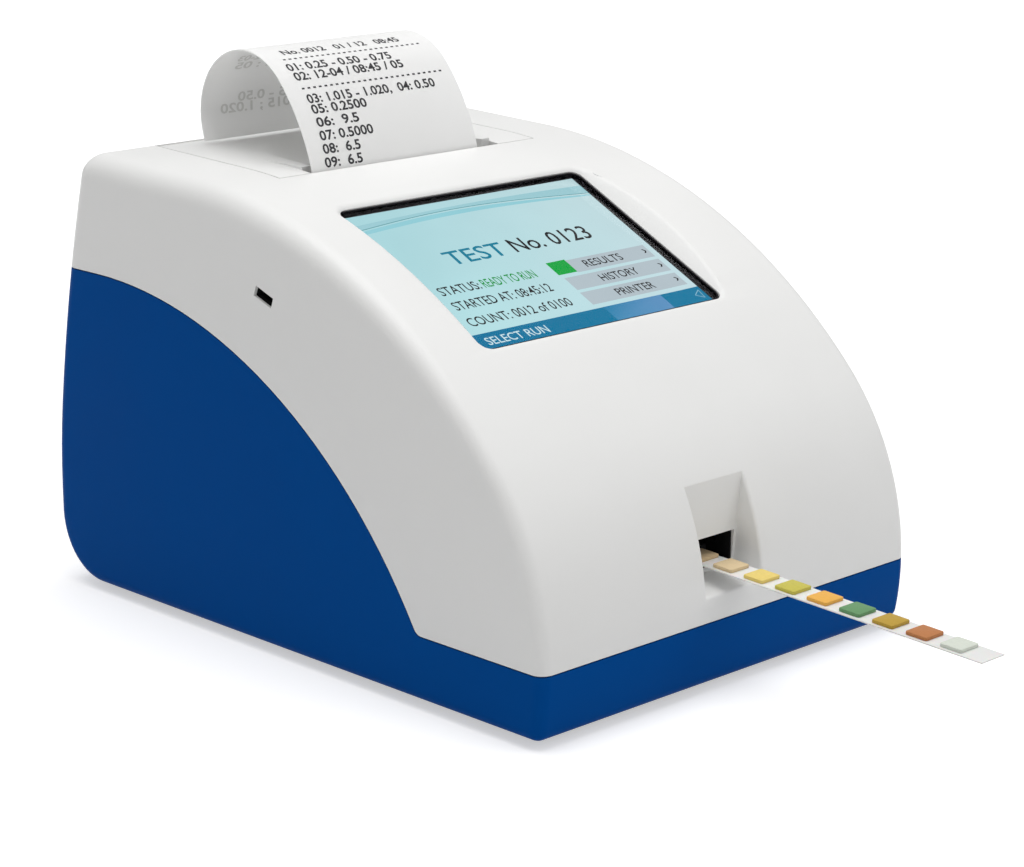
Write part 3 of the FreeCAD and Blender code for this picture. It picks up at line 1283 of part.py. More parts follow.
finish_part(test_strip, "test_strip", strip_seat)
pads = []
for number in range(int(float(s.pad_count))):
    pad_y = about(s.pad_first - s.pad_pitch * number, s.pad_length)
    pads.append(box(about(s.strip_middle, s.pad_width), pad_y, (s.strip_thick, s.strip_thick + s.pad_thick)))
finish_part(group(*pads), "reagent_pads", strip_seat)

carriage_x = (-s.carriage_half, s.carriage_half)
carriage_y = (s.carriage_front, s.carriage_back)
clip_y = (s.clip_front, s.clip_front + s.clip_length)
rail_inner = s.carriage_half - s.rail_width


def toothed_rack(line, start, stop, gap_at, module, span):
    """Rack teeth on the +X side of a bar, with a space between two teeth at one place."""
    pitch = math.pi * float(module)
    tip, root = float(line) + tip_high_share * float(module), float(line) - root_deep_share * float(module)
    first = int((float(start) - float(gap_at)) / pitch) + 1
    last = int((float(stop) - float(gap_at)) / pitch)
    corners = [V(float(s.carriage_half) - float(s.seat_gap), float(start)), V(root, float(start))]
    for number in range(first, last):
        middle = float(gap_at) + (number + 0.5) * pitch
        for x, share in ((root, -root_width_share), (tip, -tip_width_share),
                         (tip, tip_width_share), (root, root_width_share)):
            corners.append(V(x, middle + share * pitch))
    corners += [V(root, float(stop)), V(float(s.carriage_half) - float(s.seat_gap), float(stop))]
    corners.append(corners[0])
    rack = doc.addObject("Part::Feature", "rack")
    rack.Shape = Part.Face(Part.makePolygon(corners)).extrude(V(0, 0, float(span[1] - span[0])))
    bind(rack, "Placement.Base.z", span[0])
    return rack


rack_z = (-s.carriage_thick, NIL)
carriage = join(
    box(carriage_x, carriage_y, rack_z),
    box((rail_inner, s.carriage_half), carriage_y, (NIL, s.rail_height)),
    box((-s.carriage_half, -rail_inner), carriage_y, (NIL, s.rail_height)),
    box(carriage_x, clip_y, (s.rail_height, s.clip_height)),
    box((-rail_inner, rail_inner), clip_y, (s.strip_thick, s.rail_height)),
    toothed_rack(s.rack_line, s.rack_front, s.carriage_back, s.drive_back, s.rack_module, rack_z),
)
finish_part(group(carriage), "strip_carriage", strip_seat)

drive_radius = s.rack_module * s.drive_teeth / 2
drive_place = (s.rack_line + drive_radius + s.gear_backlash, s.drive_back)
guide_x = (-s.guide_left - s.guide_wall, s.guide_right + s.guide_wall)
guide_y = (s.guide_front, s.guide_back)
guide_top = -s.carriage_thick - s.seat_gap
guide_under = guide_top - s.guide_wall
flange_z = (guide_under - s.flange_thick, guide_under)
drive_bore = s.motor_shaft_radius + s.run_gap
guide_flat = cut(
    join(
        box(guide_x, guide_y, (guide_under, guide_top)),
        box((guide_x[0], -s.guide_left), guide_y, (guide_under, s.guide_height)),
        box((s.guide_right, guide_x[1]), guide_y, (guide_under, s.guide_height)),
        box((s.guide_right, s.flange_right), about(s.drive_back, s.motor_radius * 2.4), flange_z),
    ),
    box((s.guide_right, guide_x[1]), about(s.drive_back, s.drive_window), (guide_top, s.guide_height)),
    rod("z", drive_place, drive_bore, flange_z),
)
legs = []
for leg_front in (s.front_leg, s.middle_leg, s.rear_leg):
    leg_y = (leg_front + s.strip_back, leg_front + s.strip_back + s.guide_leg_length)
    leg_top = s.strip_height + leg_front * sine(s.strip_lean) + guide_under + s.guide_wall / 2
    for leg_x in ((-s.guide_left - s.leg_width, -s.guide_left), (s.guide_right, s.guide_right + s.leg_width)):
        legs.append(box(leg_x, leg_y, (floor_top, leg_top)))
guide = join(seat_in(group(guide_flat), strip_seat), *legs)
finish_part(guide, "carriage_guide")

drive_z = (-s.carriage_thick, s.pinion_rise)
drive_wheel = toothed_wheel("xy", (*drive_place, drive_z[0]), s.drive_teeth, s.rack_module,
                            drive_z[1] - drive_z[0], NIL, backwards)
drive_shaft = rod("z", drive_place, s.motor_shaft_radius, (flange_z[0] - s.drive_shaft_depth, drive_z[1]))
finish_part(group(join(drive_wheel, drive_shaft)), "drive_pinion", strip_seat)
drive_motor_z = (flange_z[0] - s.drive_motor_length, flange_z[0])
drive_motor = cut(
    rod("z", drive_place, s.motor_radius, drive_motor_z),
    rod("z", drive_place, drive_bore, (flange_z[0] - s.drive_shaft_depth - s.seat_gap, flange_z[0])),
)
finish_part(group(drive_motor), "drive_motor", strip_seat)

# Optical head over the carriage: a housing on four legs, its window, a lamp board and a sensor board
s.keep(
    optic_front=45, optic_length=30, optic_low=6, optic_height=20, optic_margin=5, optic_wall=2,
    optic_leg=6, optic_glass_rise=0.5, optic_glass=1.2, lamp_board_thick=1.6, lamp_radius=1.6,
    lamp_drop=2, lamp_pitch=7, sensor_board_thick=1.6, sensor_size=8, sensor_height=1.5,
    sensor_hole=3,
)
optic_x = (guide_x[0] - s.optic_margin, guide_x[1] + s.optic_margin)
optic_y = (s.optic_front, s.optic_front + s.optic_length)
optic_top = s.optic_low + s.optic_height
optic_middle = ((optic_x[0] + optic_x[1]) / 2, (optic_y[0] + optic_y[1]) / 2)
room_x = (optic_x[0] + s.optic_wall, optic_x[1] - s.optic_wall)
room_y = (optic_y[0] + s.optic_wall, optic_y[1] - s.optic_wall)
room_top = optic_top - s.optic_wall
optic_legs = [box(leg_x, leg_y, (s.guide_height, s.optic_low))
              for leg_x in ((guide_x[0], -s.guide_left), (s.guide_right, guide_x[1]))
              for leg_y in ((optic_y[0], optic_y[0] + s.optic_leg), (optic_y[1] - s.optic_leg, optic_y[1]))]
optic_leg_caps = [box((optic_x[0], guide_x[0] + s.guide_wall), (leg_y[0], leg_y[1]),
                      (s.optic_low, s.optic_low + s.optic_glass_rise))
                  for leg_y in ((optic_y[0], optic_y[0] + s.optic_leg), (optic_y[1] - s.optic_leg, optic_y[1]))]
optic_leg_caps += [box((s.guide_right, optic_x[1]), (leg_y[0], leg_y[1]),
                       (s.optic_low, s.optic_low + s.optic_glass_rise))
                   for leg_y in ((optic_y[0], optic_y[0] + s.optic_leg), (optic_y[1] - s.optic_leg, optic_y[1]))]
housing = cut(
    box(optic_x, optic_y, (s.optic_low, optic_top)),
    box(room_x, room_y, (s.optic_low - s.overrun, room_top)),
    rod("z", optic_middle, s.sensor_hole, (room_top - s.overrun, optic_top + s.overrun)),
)
finish_part(group(join(housing, *(optic_legs + optic_leg_caps))), "optical_head", strip_seat)
glass_z = (s.optic_low + s.optic_glass_rise, s.optic_low + s.optic_glass_rise + s.optic_glass)
finish_part(box(room_x, room_y, glass_z), "optics_window", strip_seat)
lamp_z = (room_top - s.lamp_board_thick, room_top)
lamp_plate = cut(
    box(room_x, room_y, lamp_z),
    rod("z", optic_middle, s.sensor_hole, (lamp_z[0] - s.overrun, lamp_z[1] + s.overrun)),
)
lamps = [rod("z", (optic_middle[0] + across * s.lamp_pitch, optic_middle[1] + along * s.lamp_pitch),
             s.lamp_radius, (lamp_z[0] - s.lamp_drop, lamp_z[0]))
         for across in (-1, 1) for along in (-1, 1)]
finish_part(group(join(lamp_plate, *lamps)), "lamp_board", strip_seat)
sensor_plate = box(room_x, room_y, (optic_top, optic_top + s.sensor_board_thick))
sensor = box(about(optic_middle[0], s.sensor_size), about(optic_middle[1], s.sensor_size),
             (optic_top + s.sensor_board_thick, optic_top + s.sensor_board_thick + s.sensor_height))
finish_part(group(join(sensor_plate, sensor)), "sensor_board", strip_seat)

# Recompute, look every object and shape over, and write one file for each sub-part
doc.recompute()
faults = []
for item in doc.Objects:
    if "Invalid" in item.State or "Error" in item.State:
        faults.append("%s: %s" % (item.Label, item.State))
for item in sub_parts:
    if item.Shape.isNull() or not item.Shape.isValid():
        faults.append("%s: its shape is not valid" % item.Label)
if faults:
    raise RuntimeError("\n".join(faults))
os.makedirs("parts", exist_ok=True)
for item in sub_parts:
    item.Shape.exportStep(os.path.join("parts", item.Label + ".step"))
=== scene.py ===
import bmesh
import bpy
import json
import math
from mathutils import Matrix, Vector
from mathutils.bvhtree import BVHTree

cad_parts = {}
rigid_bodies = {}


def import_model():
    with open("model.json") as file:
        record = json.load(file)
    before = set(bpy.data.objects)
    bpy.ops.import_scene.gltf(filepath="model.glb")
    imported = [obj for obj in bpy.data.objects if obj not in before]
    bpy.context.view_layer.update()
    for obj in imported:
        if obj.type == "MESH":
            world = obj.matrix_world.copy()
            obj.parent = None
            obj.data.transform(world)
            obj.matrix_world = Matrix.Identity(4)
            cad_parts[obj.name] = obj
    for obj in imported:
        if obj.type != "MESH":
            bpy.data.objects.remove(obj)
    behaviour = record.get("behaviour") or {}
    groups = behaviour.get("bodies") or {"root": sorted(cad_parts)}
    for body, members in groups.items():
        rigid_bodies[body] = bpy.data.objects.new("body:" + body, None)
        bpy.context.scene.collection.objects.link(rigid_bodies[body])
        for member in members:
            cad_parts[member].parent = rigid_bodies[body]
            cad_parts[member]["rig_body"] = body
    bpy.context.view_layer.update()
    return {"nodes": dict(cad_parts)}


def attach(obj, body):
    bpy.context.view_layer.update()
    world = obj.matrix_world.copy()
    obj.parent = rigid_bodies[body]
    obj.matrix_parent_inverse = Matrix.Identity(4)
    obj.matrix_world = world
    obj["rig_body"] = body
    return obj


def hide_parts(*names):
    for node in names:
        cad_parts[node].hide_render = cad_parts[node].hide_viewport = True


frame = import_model()
mm = 0.001
weld_distance = 0.002 * mm

# The table and the room: a pale floor that stays white where no shadow falls, an even white
# room, one wide soft lamp overhead and a weaker one to the front right. The camera stands at
# the left front corner, a little above the unit.
camera_place = Vector((-501.16, -492.59, 242.48)) * mm
camera_azimuth = math.radians(-44.23)
camera_elevation = math.radians(15.075)
lens_length = 101.64
room_light = 0.4
floor_size = 12.0
floor_colour = (0.72, 0.72, 0.72, 1)
floor_lift, floor_far_lift = 0.5, 1.0
floor_near, floor_far = 0.3, 1.3

scene = bpy.context.scene
scene.view_settings.view_transform = "Standard"
camera_data = bpy.data.cameras.new("camera")
camera_data.lens = lens_length
camera_data.sensor_width = 36
camera_data.clip_end = 30
camera = bpy.data.objects.new("camera", camera_data)
scene.collection.objects.link(camera)
camera.location = camera_place
looking = Vector((-math.sin(camera_azimuth) * math.cos(camera_elevation),
                  math.cos(camera_azimuth) * math.cos(camera_elevation),
                  -math.sin(camera_elevation)))
camera.rotation_euler = looking.to_track_quat("-Z", "Y").to_euler()
scene.camera = camera


def new_material(name):
    """An empty node material, its node tree and its Principled BSDF."""
    material = bpy.data.materials.new(name)
    material.use_nodes = True
    return material, material.node_tree, material.node_tree.nodes["Principled BSDF"]


def feed(tree, socket, source):
    """Gives an input a plain value, or links another node's output to it."""
    if isinstance(source, bpy.types.NodeSocket):
        tree.links.new(source, socket)
    else:
        socket.default_value = source


def maths(tree, operation, *sources):
    """The result of a maths node on values or outputs."""
    node = tree.nodes.new("ShaderNodeMath")
    node.operation = operation
    for socket, source in zip(node.inputs, sources):
        feed(tree, socket, source)
    return node.outputs[0]


def vector_maths(tree, operation, *sources, result="Vector"):
    """The result of a vector maths node on vectors or outputs."""
    node = tree.nodes.new("ShaderNodeVectorMath")
    node.operation = operation
    for socket, source in zip(node.inputs, sources):
        feed(tree, socket, source)
    return node.outputs[result]


def mapped(tree, value, ends, span=(0, 1)):
    """A value carried from one range to another, and kept within it."""
    node = tree.nodes.new("ShaderNodeMapRange")
    tree.links.new(value, node.inputs["Value"])
    for name, number in zip(("From Min", "From Max", "To Min", "To Max"), (*span, *ends)):
        node.inputs[name].default_value = number
    return node.outputs[0]


def own_place(tree):
    """The places of the piece's own surface, which ride with it."""
    return tree.nodes.new("ShaderNodeTexCoord").outputs["Object"]


world = bpy.data.worlds.new("room")
scene.world = world
world.use_nodes = True
background = world.node_tree.nodes["Background"]
background.inputs["Color"].default_value = (1, 1, 1, 1)
rays = world.node_tree.nodes.new("ShaderNodeLightPath").outputs
seen = maths(world.node_tree, "MAXIMUM", rays["Is Camera Ray"], rays["Is Transmission Ray"])
world.node_tree.links.new(mapped(world.node_tree, seen, (room_light, 1)), background.inputs["Strength"])

floor_material, tree, shader = new_material("floor")
shader.inputs["Base Color"].default_value = floor_colour
shader.inputs["Roughness"].default_value = 0.9
shader.inputs["Specular IOR Level"].default_value = 0.1
shader.inputs["Emission Color"].default_value = (1, 1, 1, 1)
rays = tree.nodes.new("ShaderNodeLightPath").outputs
seen = maths(tree, "MAXIMUM", maths(tree, "MAXIMUM", rays["Is Camera Ray"], rays["Is Glossy Ray"]),
             rays["Is Transmission Ray"])
away = vector_maths(tree, "LENGTH", own_place(tree), result="Value")
lift = mapped(tree, away, (floor_lift, floor_far_lift), (floor_near, floor_far))
tree.links.new(maths(tree, "MULTIPLY", seen, lift), shader.inputs["Emission Strength"])
floor_mesh = bpy.data.meshes.new("floor")
reach = floor_size / 2
floor_mesh.from_pydata([(-reach, -reach, 0), (reach, -reach, 0), (reach, reach, 0), (-reach, reach, 0)],
                       [], [(0, 1, 2, 3)])
floor_mesh.materials.append(floor_material)
floor = bpy.data.objects.new("floor", floor_mesh)
scene.collection.objects.link(floor)

lamp_target = Vector((0, 0, 0.06))
lamps = (("overhead_lamp", (-0.05, 0.05, 1.5), 1.3, 15.6), ("front_lamp", (0.7, -1.2, 1.0), 0.9, 3.2))
for name, place, size, power in lamps:
    data = bpy.data.lights.new(name, "AREA")
    data.shape = "SQUARE"
    data.size = size
    data.energy = power
    lamp = bpy.data.objects.new(name, data)
    scene.collection.objects.link(lamp)
    lamp.location = place
    lamp.rotation_euler = (lamp_target - Vector(place)).to_track_quat("-Z", "Y").to_euler()


# Upper casing: the white moulded shell, in a satin plastic with a fine spark-eroded grain.
# It drops over the lower shell's lip and carries the screen recess, the strip port and the
# printer's opening. Its outer surface runs from front to back in a row of tangent arcs.
def shared_group(name, inputs, outputs):
    """A shader group with inputs at their start values, and the sockets inside it."""
    group = bpy.data.node_groups.new(name, "ShaderNodeTree")
    for label, start in inputs.items():
        kind = "NodeSocketVector" if isinstance(start, tuple) else "NodeSocketFloat"
        group.interface.new_socket(label, in_out="INPUT", socket_type=kind).default_value = start
    for label in outputs:
        group.interface.new_socket(label, in_out="OUTPUT", socket_type="NodeSocketFloat")
    return group, group.nodes.new("NodeGroupInput").outputs, group.nodes.new("NodeGroupOutput").inputs


def noise(tree, place, size, detail):
    """A soft noise at a place, with the size of its grains in millimetres."""
    node = tree.nodes.new("ShaderNodeTexNoise")
    node.inputs["Detail"].default_value = detail
    tree.links.new(place, node.inputs["Vector"])
    tree.links.new(maths(tree, "DIVIDE", 1 / mm, size), node.inputs["Scale"])
    return node.outputs["Fac"]


def mixed(tree, factor, one, two, way="MIX"):
    """A colour mixed from two colours or outputs."""
    node = tree.nodes.new("ShaderNodeMix")
    node.data_type = "RGBA"
    node.blend_type = way
    for name, source in (("Factor", factor), ("A", one), ("B", two)):
        feed(tree, node.inputs[name], source)
    return node.outputs["Result"]


def relief(tree, shader, height, depth):
    """Bumps a finish by a height pattern, with the depth in millimetres."""
    bump = tree.nodes.new("ShaderNodeBump")
    bump.inputs["Strength"].default_value = 1
    bump.inputs["Distance"].default_value = depth * mm
    tree.links.new(height, bump.inputs["Height"])
    tree.links.new(bump.outputs["Normal"], shader.inputs["Normal"])


def set_values(node, values):
    """Sets a node's inputs by their names, written with underscores."""
    for name, value in values.items():
        node.inputs[name.replace("_", " ")].default_value = value


def pattern(tree, group, **values):
    """The outputs of a shared group in a material, with its inputs set."""
    node = tree.nodes.new("ShaderNodeGroup")
    node.node_tree = group
    set_values(node, values)
    return node.outputs


moulded_grain, given, put = shared_group(
    "moulded_grain", {"Grain Size": 0.3, "Patch Size": 30.0, "Roughness": 0.4, "Spread": 0.05},
    ("Height", "Roughness", "Patches"))
place = own_place(moulded_grain)
patches = noise(moulded_grain, place, given["Patch Size"], 3)
moulded_grain.links.new(noise(moulded_grain, place, given["Grain Size"], 2), put["Height"])
moulded_grain.links.new(patches, put["Patches"])
moulded_grain.links.new(maths(moulded_grain, "MULTIPLY_ADD", maths(moulded_grain, "SUBTRACT", patches, 0.5),
                              given["Spread"], given["Roughness"]), put["Roughness"])


def grainy(name, light, dark, roughness, grain=0.3, depth=0.02, patch=30, spread=0.15, **sockets):
    """A finish with the moulded grain: two close colours in patches, and its own sheen values."""
    material, tree, shader = new_material(name)
    grains = pattern(tree, moulded_grain, Grain_Size=grain, Patch_Size=patch, Roughness=roughness,
                     Spread=spread)
    tree.links.new(mixed(tree, grains["Patches"], (*dark, 1), (*light, 1)), shader.inputs["Base Color"])
    tree.links.new(grains["Roughness"], shader.inputs["Roughness"])
    relief(tree, shader, grains["Height"], depth)
    set_values(shader, sockets)
    return material


def smooth_copy(node, name, material, angle=28):
    """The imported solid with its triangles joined, shaded smooth across all but its real edges."""
    mesh = frame["nodes"][node].data.copy()
    mesh.name = name
    piece = bpy.data.objects.new(name, mesh)
    scene.collection.objects.link(piece)
    bm = bmesh.new()
    bm.from_mesh(mesh)
    bmesh.ops.remove_doubles(bm, verts=bm.verts, dist=weld_distance)
    for face in bm.faces:
        face.smooth = True
        face.material_index = 0
    for edge in bm.edges:
        edge.smooth = len(edge.link_faces) == 2 and edge.calc_face_angle(math.pi) < math.radians(angle)
    bm.to_mesh(mesh)
    bm.free()
    mesh.materials.clear()
    mesh.materials.append(material)
    home = frame["nodes"][node]["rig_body"]
    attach(piece, home)
    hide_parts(node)


white_shell = grainy("white_satin_plastic", (0.88, 0.88, 0.87), (0.85, 0.85, 0.84), 0.42,
                     Specular_IOR_Level=0.4)
smooth_copy("top_casing", "upper_casing", white_shell)

# Lower casing: the dark blue shell that the unit stands on, from the same satin plastic in a
# through colour. It rises towards the back and carries the rear socket panel.
blue_shell = grainy("blue_satin_plastic", (0.0, 0.073, 0.315), (0.0, 0.065, 0.29), 0.42,
                    Specular_IOR_Level=0.015)
smooth_copy("base_casing", "lower_casing", blue_shell)

# Paper cover: the white lid over the printer, cut from the same form as the upper casing and
# hinged at its back on a steel pin. A shallow ramp leads the paper out over it.
smooth_copy("paper_cover", "paper_lid", white_shell)

# Feet: four rubber discs pressed into shallow seats under the lower shell.
foot_rubber = grainy("foot_rubber", (0.022, 0.022, 0.023), (0.014, 0.014, 0.015), 0.7, grain=0.5,
                     depth=0.05, Specular_IOR_Level=0.3)
smooth_copy("rubber_feet", "feet", foot_rubber)

# Screen: a clear cover glass with a black printed border sits under the opening, on a lit
# colour display in a metal can. A black ring on the opening's rim wall is painted shade. Sizes
# are across and along the leaning screen, from its middle, and heights are from the top of the glass.
def leaning(place, angle):
    """A frame in millimetres at a place, turned about the side axis."""
    return Matrix.Translation(Vector(place) * mm) @ Matrix.Rotation(angle, 4, "X") @ Matrix.Scale(mm, 4)


screen_lean = math.radians(25.95)
screen_place = leaning((-4.3, 10.9, 97.4), screen_lean)
glass_size, glass_corner, glass_low = (86.8, 61.2), 3.0, -0.9
opening_size, rim_shade_wall, rim_shade_high = (84.4, 58.8), 0.3, 0.4
picture_x, picture_y = (-42.9, 40.2), (-28.6, 28.1)
border_level, picture_level, layer_step = -0.95, -1.09, 0.03


def eight_bit(red, green, blue):
    """A linear colour from its values as they look on a screen, from 0 to 255."""
    return tuple(((value / 255 + 0.055) / 1.055) ** 2.4 if value > 10 else value / 3294
                 for value in (red, green, blue))


def rounded_outline(size, corner, middle=(0, 0), steps=6):
    """Points round a rectangle with rounded corners, anticlockwise."""
    points = []
    for number, (side, end) in enumerate(((1, 1), (-1, 1), (-1, -1), (1, -1))):
        for step in range(steps + 1):
            angle = (number + step / steps) * math.pi / 2
            points.append((middle[0] + side * (size[0] / 2 - corner) + corner * math.cos(angle),
                           middle[1] + end * (size[1] / 2 - corner) + corner * math.sin(angle)))
    return points


def new_piece(name, bm, material, body="casing", node=None, smooth=None):
    """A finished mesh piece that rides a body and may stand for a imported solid."""
    mesh = bpy.data.meshes.new(name)
    if smooth is not None:
        for face in bm.faces:
            face.smooth = True
        for edge in bm.edges:
            edge.smooth = len(edge.link_faces) == 2 and edge.calc_face_angle(math.pi) < math.radians(smooth)
    bm.to_mesh(mesh)
    bm.free()
    mesh.materials.append(material)
    piece = bpy.data.objects.new(name, mesh)
    scene.collection.objects.link(piece)
    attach(piece, body)
    if node:
        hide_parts(node)


def add_prism(bm, outline, low, high, bevel=0.0):
    """A solid with that outline between two heights, its top and bottom edges softly bevelled."""
    low_ring, high_ring = [[bm.verts.new((x, y, height)) for x, y in outline] for height in (low, high)]
    count = len(outline)
    for n in range(count):
        bm.faces.new((low_ring[n], low_ring[(n + 1) % count], high_ring[(n + 1) % count], high_ring[n]))
    caps = [bm.faces.new(low_ring[::-1]), bm.faces.new(high_ring)]
    if bevel:
        edges = [edge for cap in caps for edge in cap.edges]
        bmesh.ops.bevel(bm, geom=edges, offset=bevel, segments=2, profile=0.5, affect="EDGES")


def add_ring(bm, outer, inner, low, high):
    """A closed frame between two outlines with the same number of points."""
    loops = [[bm.verts.new((x, y, height)) for x, y in outline]
             for outline, height in ((outer, low), (outer, high), (inner, high), (inner, low))]
    count = len(outer)
    for number in range(4):
        one, two = loops[number], loops[(number + 1) % 4]
        for n in range(count):
            bm.faces.new((one[n], one[(n + 1) % count], two[(n + 1) % count], two[n]))


glass_clear, tree, shader = new_material("clear_cover_glass")
set_values(shader, {"Base_Color": (0.98, 1.0, 0.99, 1), "IOR": 1.12, "Transmission_Weight": 1})
smears = tree.nodes.new("ShaderNodeTexNoise")
smears.inputs["Scale"].default_value = 40
tree.links.new(own_place(tree), smears.inputs["Vector"])
tree.links.new(mapped(tree, smears.outputs["Fac"], (0, 0.02), (0.6, 1)), shader.inputs["Roughness"])
bm = bmesh.new()
add_prism(bm, rounded_outline(glass_size, glass_corner), glass_low, 0, 0.15)
bm.transform(screen_place)
new_piece("cover_glass", bm, glass_clear, node="touch_glass", smooth=25)

border_print = grainy("black_border_print", (0.012, 0.010, 0.013), (0.009, 0.008, 0.010), 0.6, grain=0.2,
                      depth=0.0005, Specular_IOR_Level=0.05)
bm = bmesh.new()
inner_size = (picture_x[1] - picture_x[0], picture_y[1] - picture_y[0])
inner_middle = (sum(picture_x) / 2, sum(picture_y) / 2)
add_ring(bm, rounded_outline(glass_size, glass_corner), rounded_outline(inner_size, 0.4, inner_middle),
         border_level - 0.02, border_level)
bm.transform(screen_place)
new_piece("screen_border", bm, border_print)
# Painted shade: a thin black ring over the rim wall of the opening, dark where that wall lies in shadow.
rim_shade_black = grainy("rim_shade_black", (0.016, 0.013, 0.017), (0.012, 0.010, 0.013), 0.6, grain=0.3,
                       depth=0.002, Specular_IOR_Level=0.2)
bm = bmesh.new()
inside = [size - rim_shade_wall * 2 for size in opening_size]
add_ring(bm, rounded_outline(opening_size, glass_corner),
         rounded_outline(inside, glass_corner - rim_shade_wall), 0.01, rim_shade_high)
bm.transform(screen_place)
new_piece("screen_gasket", bm, rim_shade_black, smooth=40)

# Picture: what the lit display shows, drawn in thin layers: a pale blue ground with a soft
# wave, a counter and three plain lines of text, a green square, three buttons and a bar.
picture, tree, shader = new_material("lit_picture")
set_values(shader, {"Base_Color": (0, 0, 0, 1), "Specular_IOR_Level": 0, "Emission_Strength": 1})
ink = tree.nodes.new("ShaderNodeAttribute")
ink.attribute_name = "ink"
shimmer = tree.nodes.new("ShaderNodeTexNoise")
shimmer.inputs["Scale"].default_value = 45
tree.links.new(own_place(tree), shimmer.inputs["Vector"])
tree.links.new(mixed(tree, 0.12, ink.outputs["Color"], shimmer.outputs["Fac"], "MULTIPLY"),
               shader.inputs["Emission Color"])


def lettering(text, weight=0.008):
    """Flat triangles of one line of text, a capital one unit tall, and its width."""
    curve = bpy.data.curves.new("lettering", "FONT")
    curve.body = text
    curve.resolution_u = 3
    curve.offset = weight
    line = bpy.data.objects.new("lettering", curve)
    mesh = bpy.data.meshes.new_from_object(line)
    start = min(vertex.co.x for vertex in mesh.vertices)
    end = max(vertex.co.x for vertex in mesh.vertices)
    capital = 0.73
    faces = [[((mesh.vertices[number].co.x - start) / capital, mesh.vertices[number].co.y / capital)
              for number in face.vertices] for face in mesh.polygons]
    bpy.data.objects.remove(line)
    bpy.data.meshes.remove(mesh)
    bpy.data.curves.remove(curve)
    return faces, (end - start) / capital


def tint(bm, faces, colours):
    """Colours the corners of faces: one colour for all, or one for each corner."""
    layer = bm.loops.layers.float_color.get("ink") or bm.loops.layers.float_color.new("ink")
    for face in faces:
        for number, loop in enumerate(face.loops):
            loop[layer] = (*(colours[number] if isinstance(colours, list) else colours), 1)


def patch(outline, layer, colours):
    """One flat coloured patch of the picture, on a numbered layer."""
    height = picture_level + layer * layer_step
    tint(bm, [bm.faces.new([bm.verts.new((x, y, height)) for x, y in outline])], colours)


def write_line(text, left, foot, height, colour, width=None):
    """A line of text in the picture, from its left foot, pressed to a width if one is given."""
    faces, natural = lettering(text)
    squeeze = width / natural if width else height
    for face in faces:
        patch([(left + x * squeeze, foot + y * height) for x, y in face], 3, colour)


def square(x, y):
    """The corners of a rectangle, from its left foot round anticlockwise."""
    return [(x[0], y[0]), (x[1], y[0]), (x[1], y[1]), (x[0], y[1])]


def wave(x, rise, swing, length):
    """The height of a soft wave at a place across the picture."""
    return rise + swing * math.sin((x - picture_x[0]) / length)


def wave_band(layer, colour, lower, upper, steps=40):
    """A band across the picture between two waves."""
    for step in range(steps):
        x = [picture_x[0] + (picture_x[1] - picture_x[0]) * part / steps for part in (step, step + 1)]
        patch([(x[0], wave(x[0], *lower)), (x[1], wave(x[1], *lower)),
               (x[1], wave(x[1], *upper)), (x[0], wave(x[0], *upper))], layer, colour)


dark, teal, ready = eight_bit(34, 32, 36), eight_bit(12, 128, 158), eight_bit(14, 152, 62)
green, button_grey, pale = eight_bit(0, 170, 64), eight_bit(186, 199, 208), eight_bit(206, 232, 240)
bar_blue, bar_end, arrow_blue = eight_bit(0, 116, 160), eight_bit(0, 124, 166), eight_bit(150, 200, 220)
tab_colours = [eight_bit(*tone) for tone in ((70, 144, 190), (96, 150, 200), (96, 150, 200), (30, 130, 176))]
ground_colours = [eight_bit(*tone) for tone in
                  ((186, 230, 236), (206, 230, 238), (198, 226, 232), (170, 218, 226))]
wave_bands = ((1, eight_bit(160, 208, 218), (22.0, 2.4, 24), (24.2, 1.4, 30)),
              (1, eight_bit(150, 210, 222), (20.2, 2.0, 26), (21.4, 2.4, 24)),
              (2, eight_bit(64, 140, 150), (21.85, 2.4, 24), (22.05, 2.4, 24)))
written_lines = (("TEST", -23.4, 3.6, 5.6, teal, 19.5), ("No. 0123", -1.2, 3.8, 5.6, dark, 27.4),
                 ("STATUS:", -35.3, -6.7, 3.4, dark, 13.2), ("READY TO RUN", -21.1, -6.7, 3.4, ready, 18),
                 ("STARTED AT: 08:45:12", -35.6, -12.7, 3.4, dark, 32.7),
                 ("COUNT: 0012 of 0100", -36.4, -19.2, 3.4, dark, 34.6))
buttons = ((9.8, -2.7, "RESULTS"), (3.8, -9.0, "HISTORY"), (3.6, -15.3, "PRINTER"))
button_right, button_height, word_left, word_drop, word_height, word_width = 38.1, 5.2, 14.3, 4, 2.9, 13.4
chevron = ((35.9, 1.7), (36.5, 1.7), (37.2, 2.5), (36.5, 3.3), (35.9, 3.3), (36.6, 2.5))
bar_top, tab_ends, green_x, green_y = -22.1, (5.7, 26.1), (3.2, 9.8), (-7.6, -2.3)
arrow_corners, arrow_line = ((36.4, -25.1), (39.0, -23.5), (38.6, -26.6)), 0.1

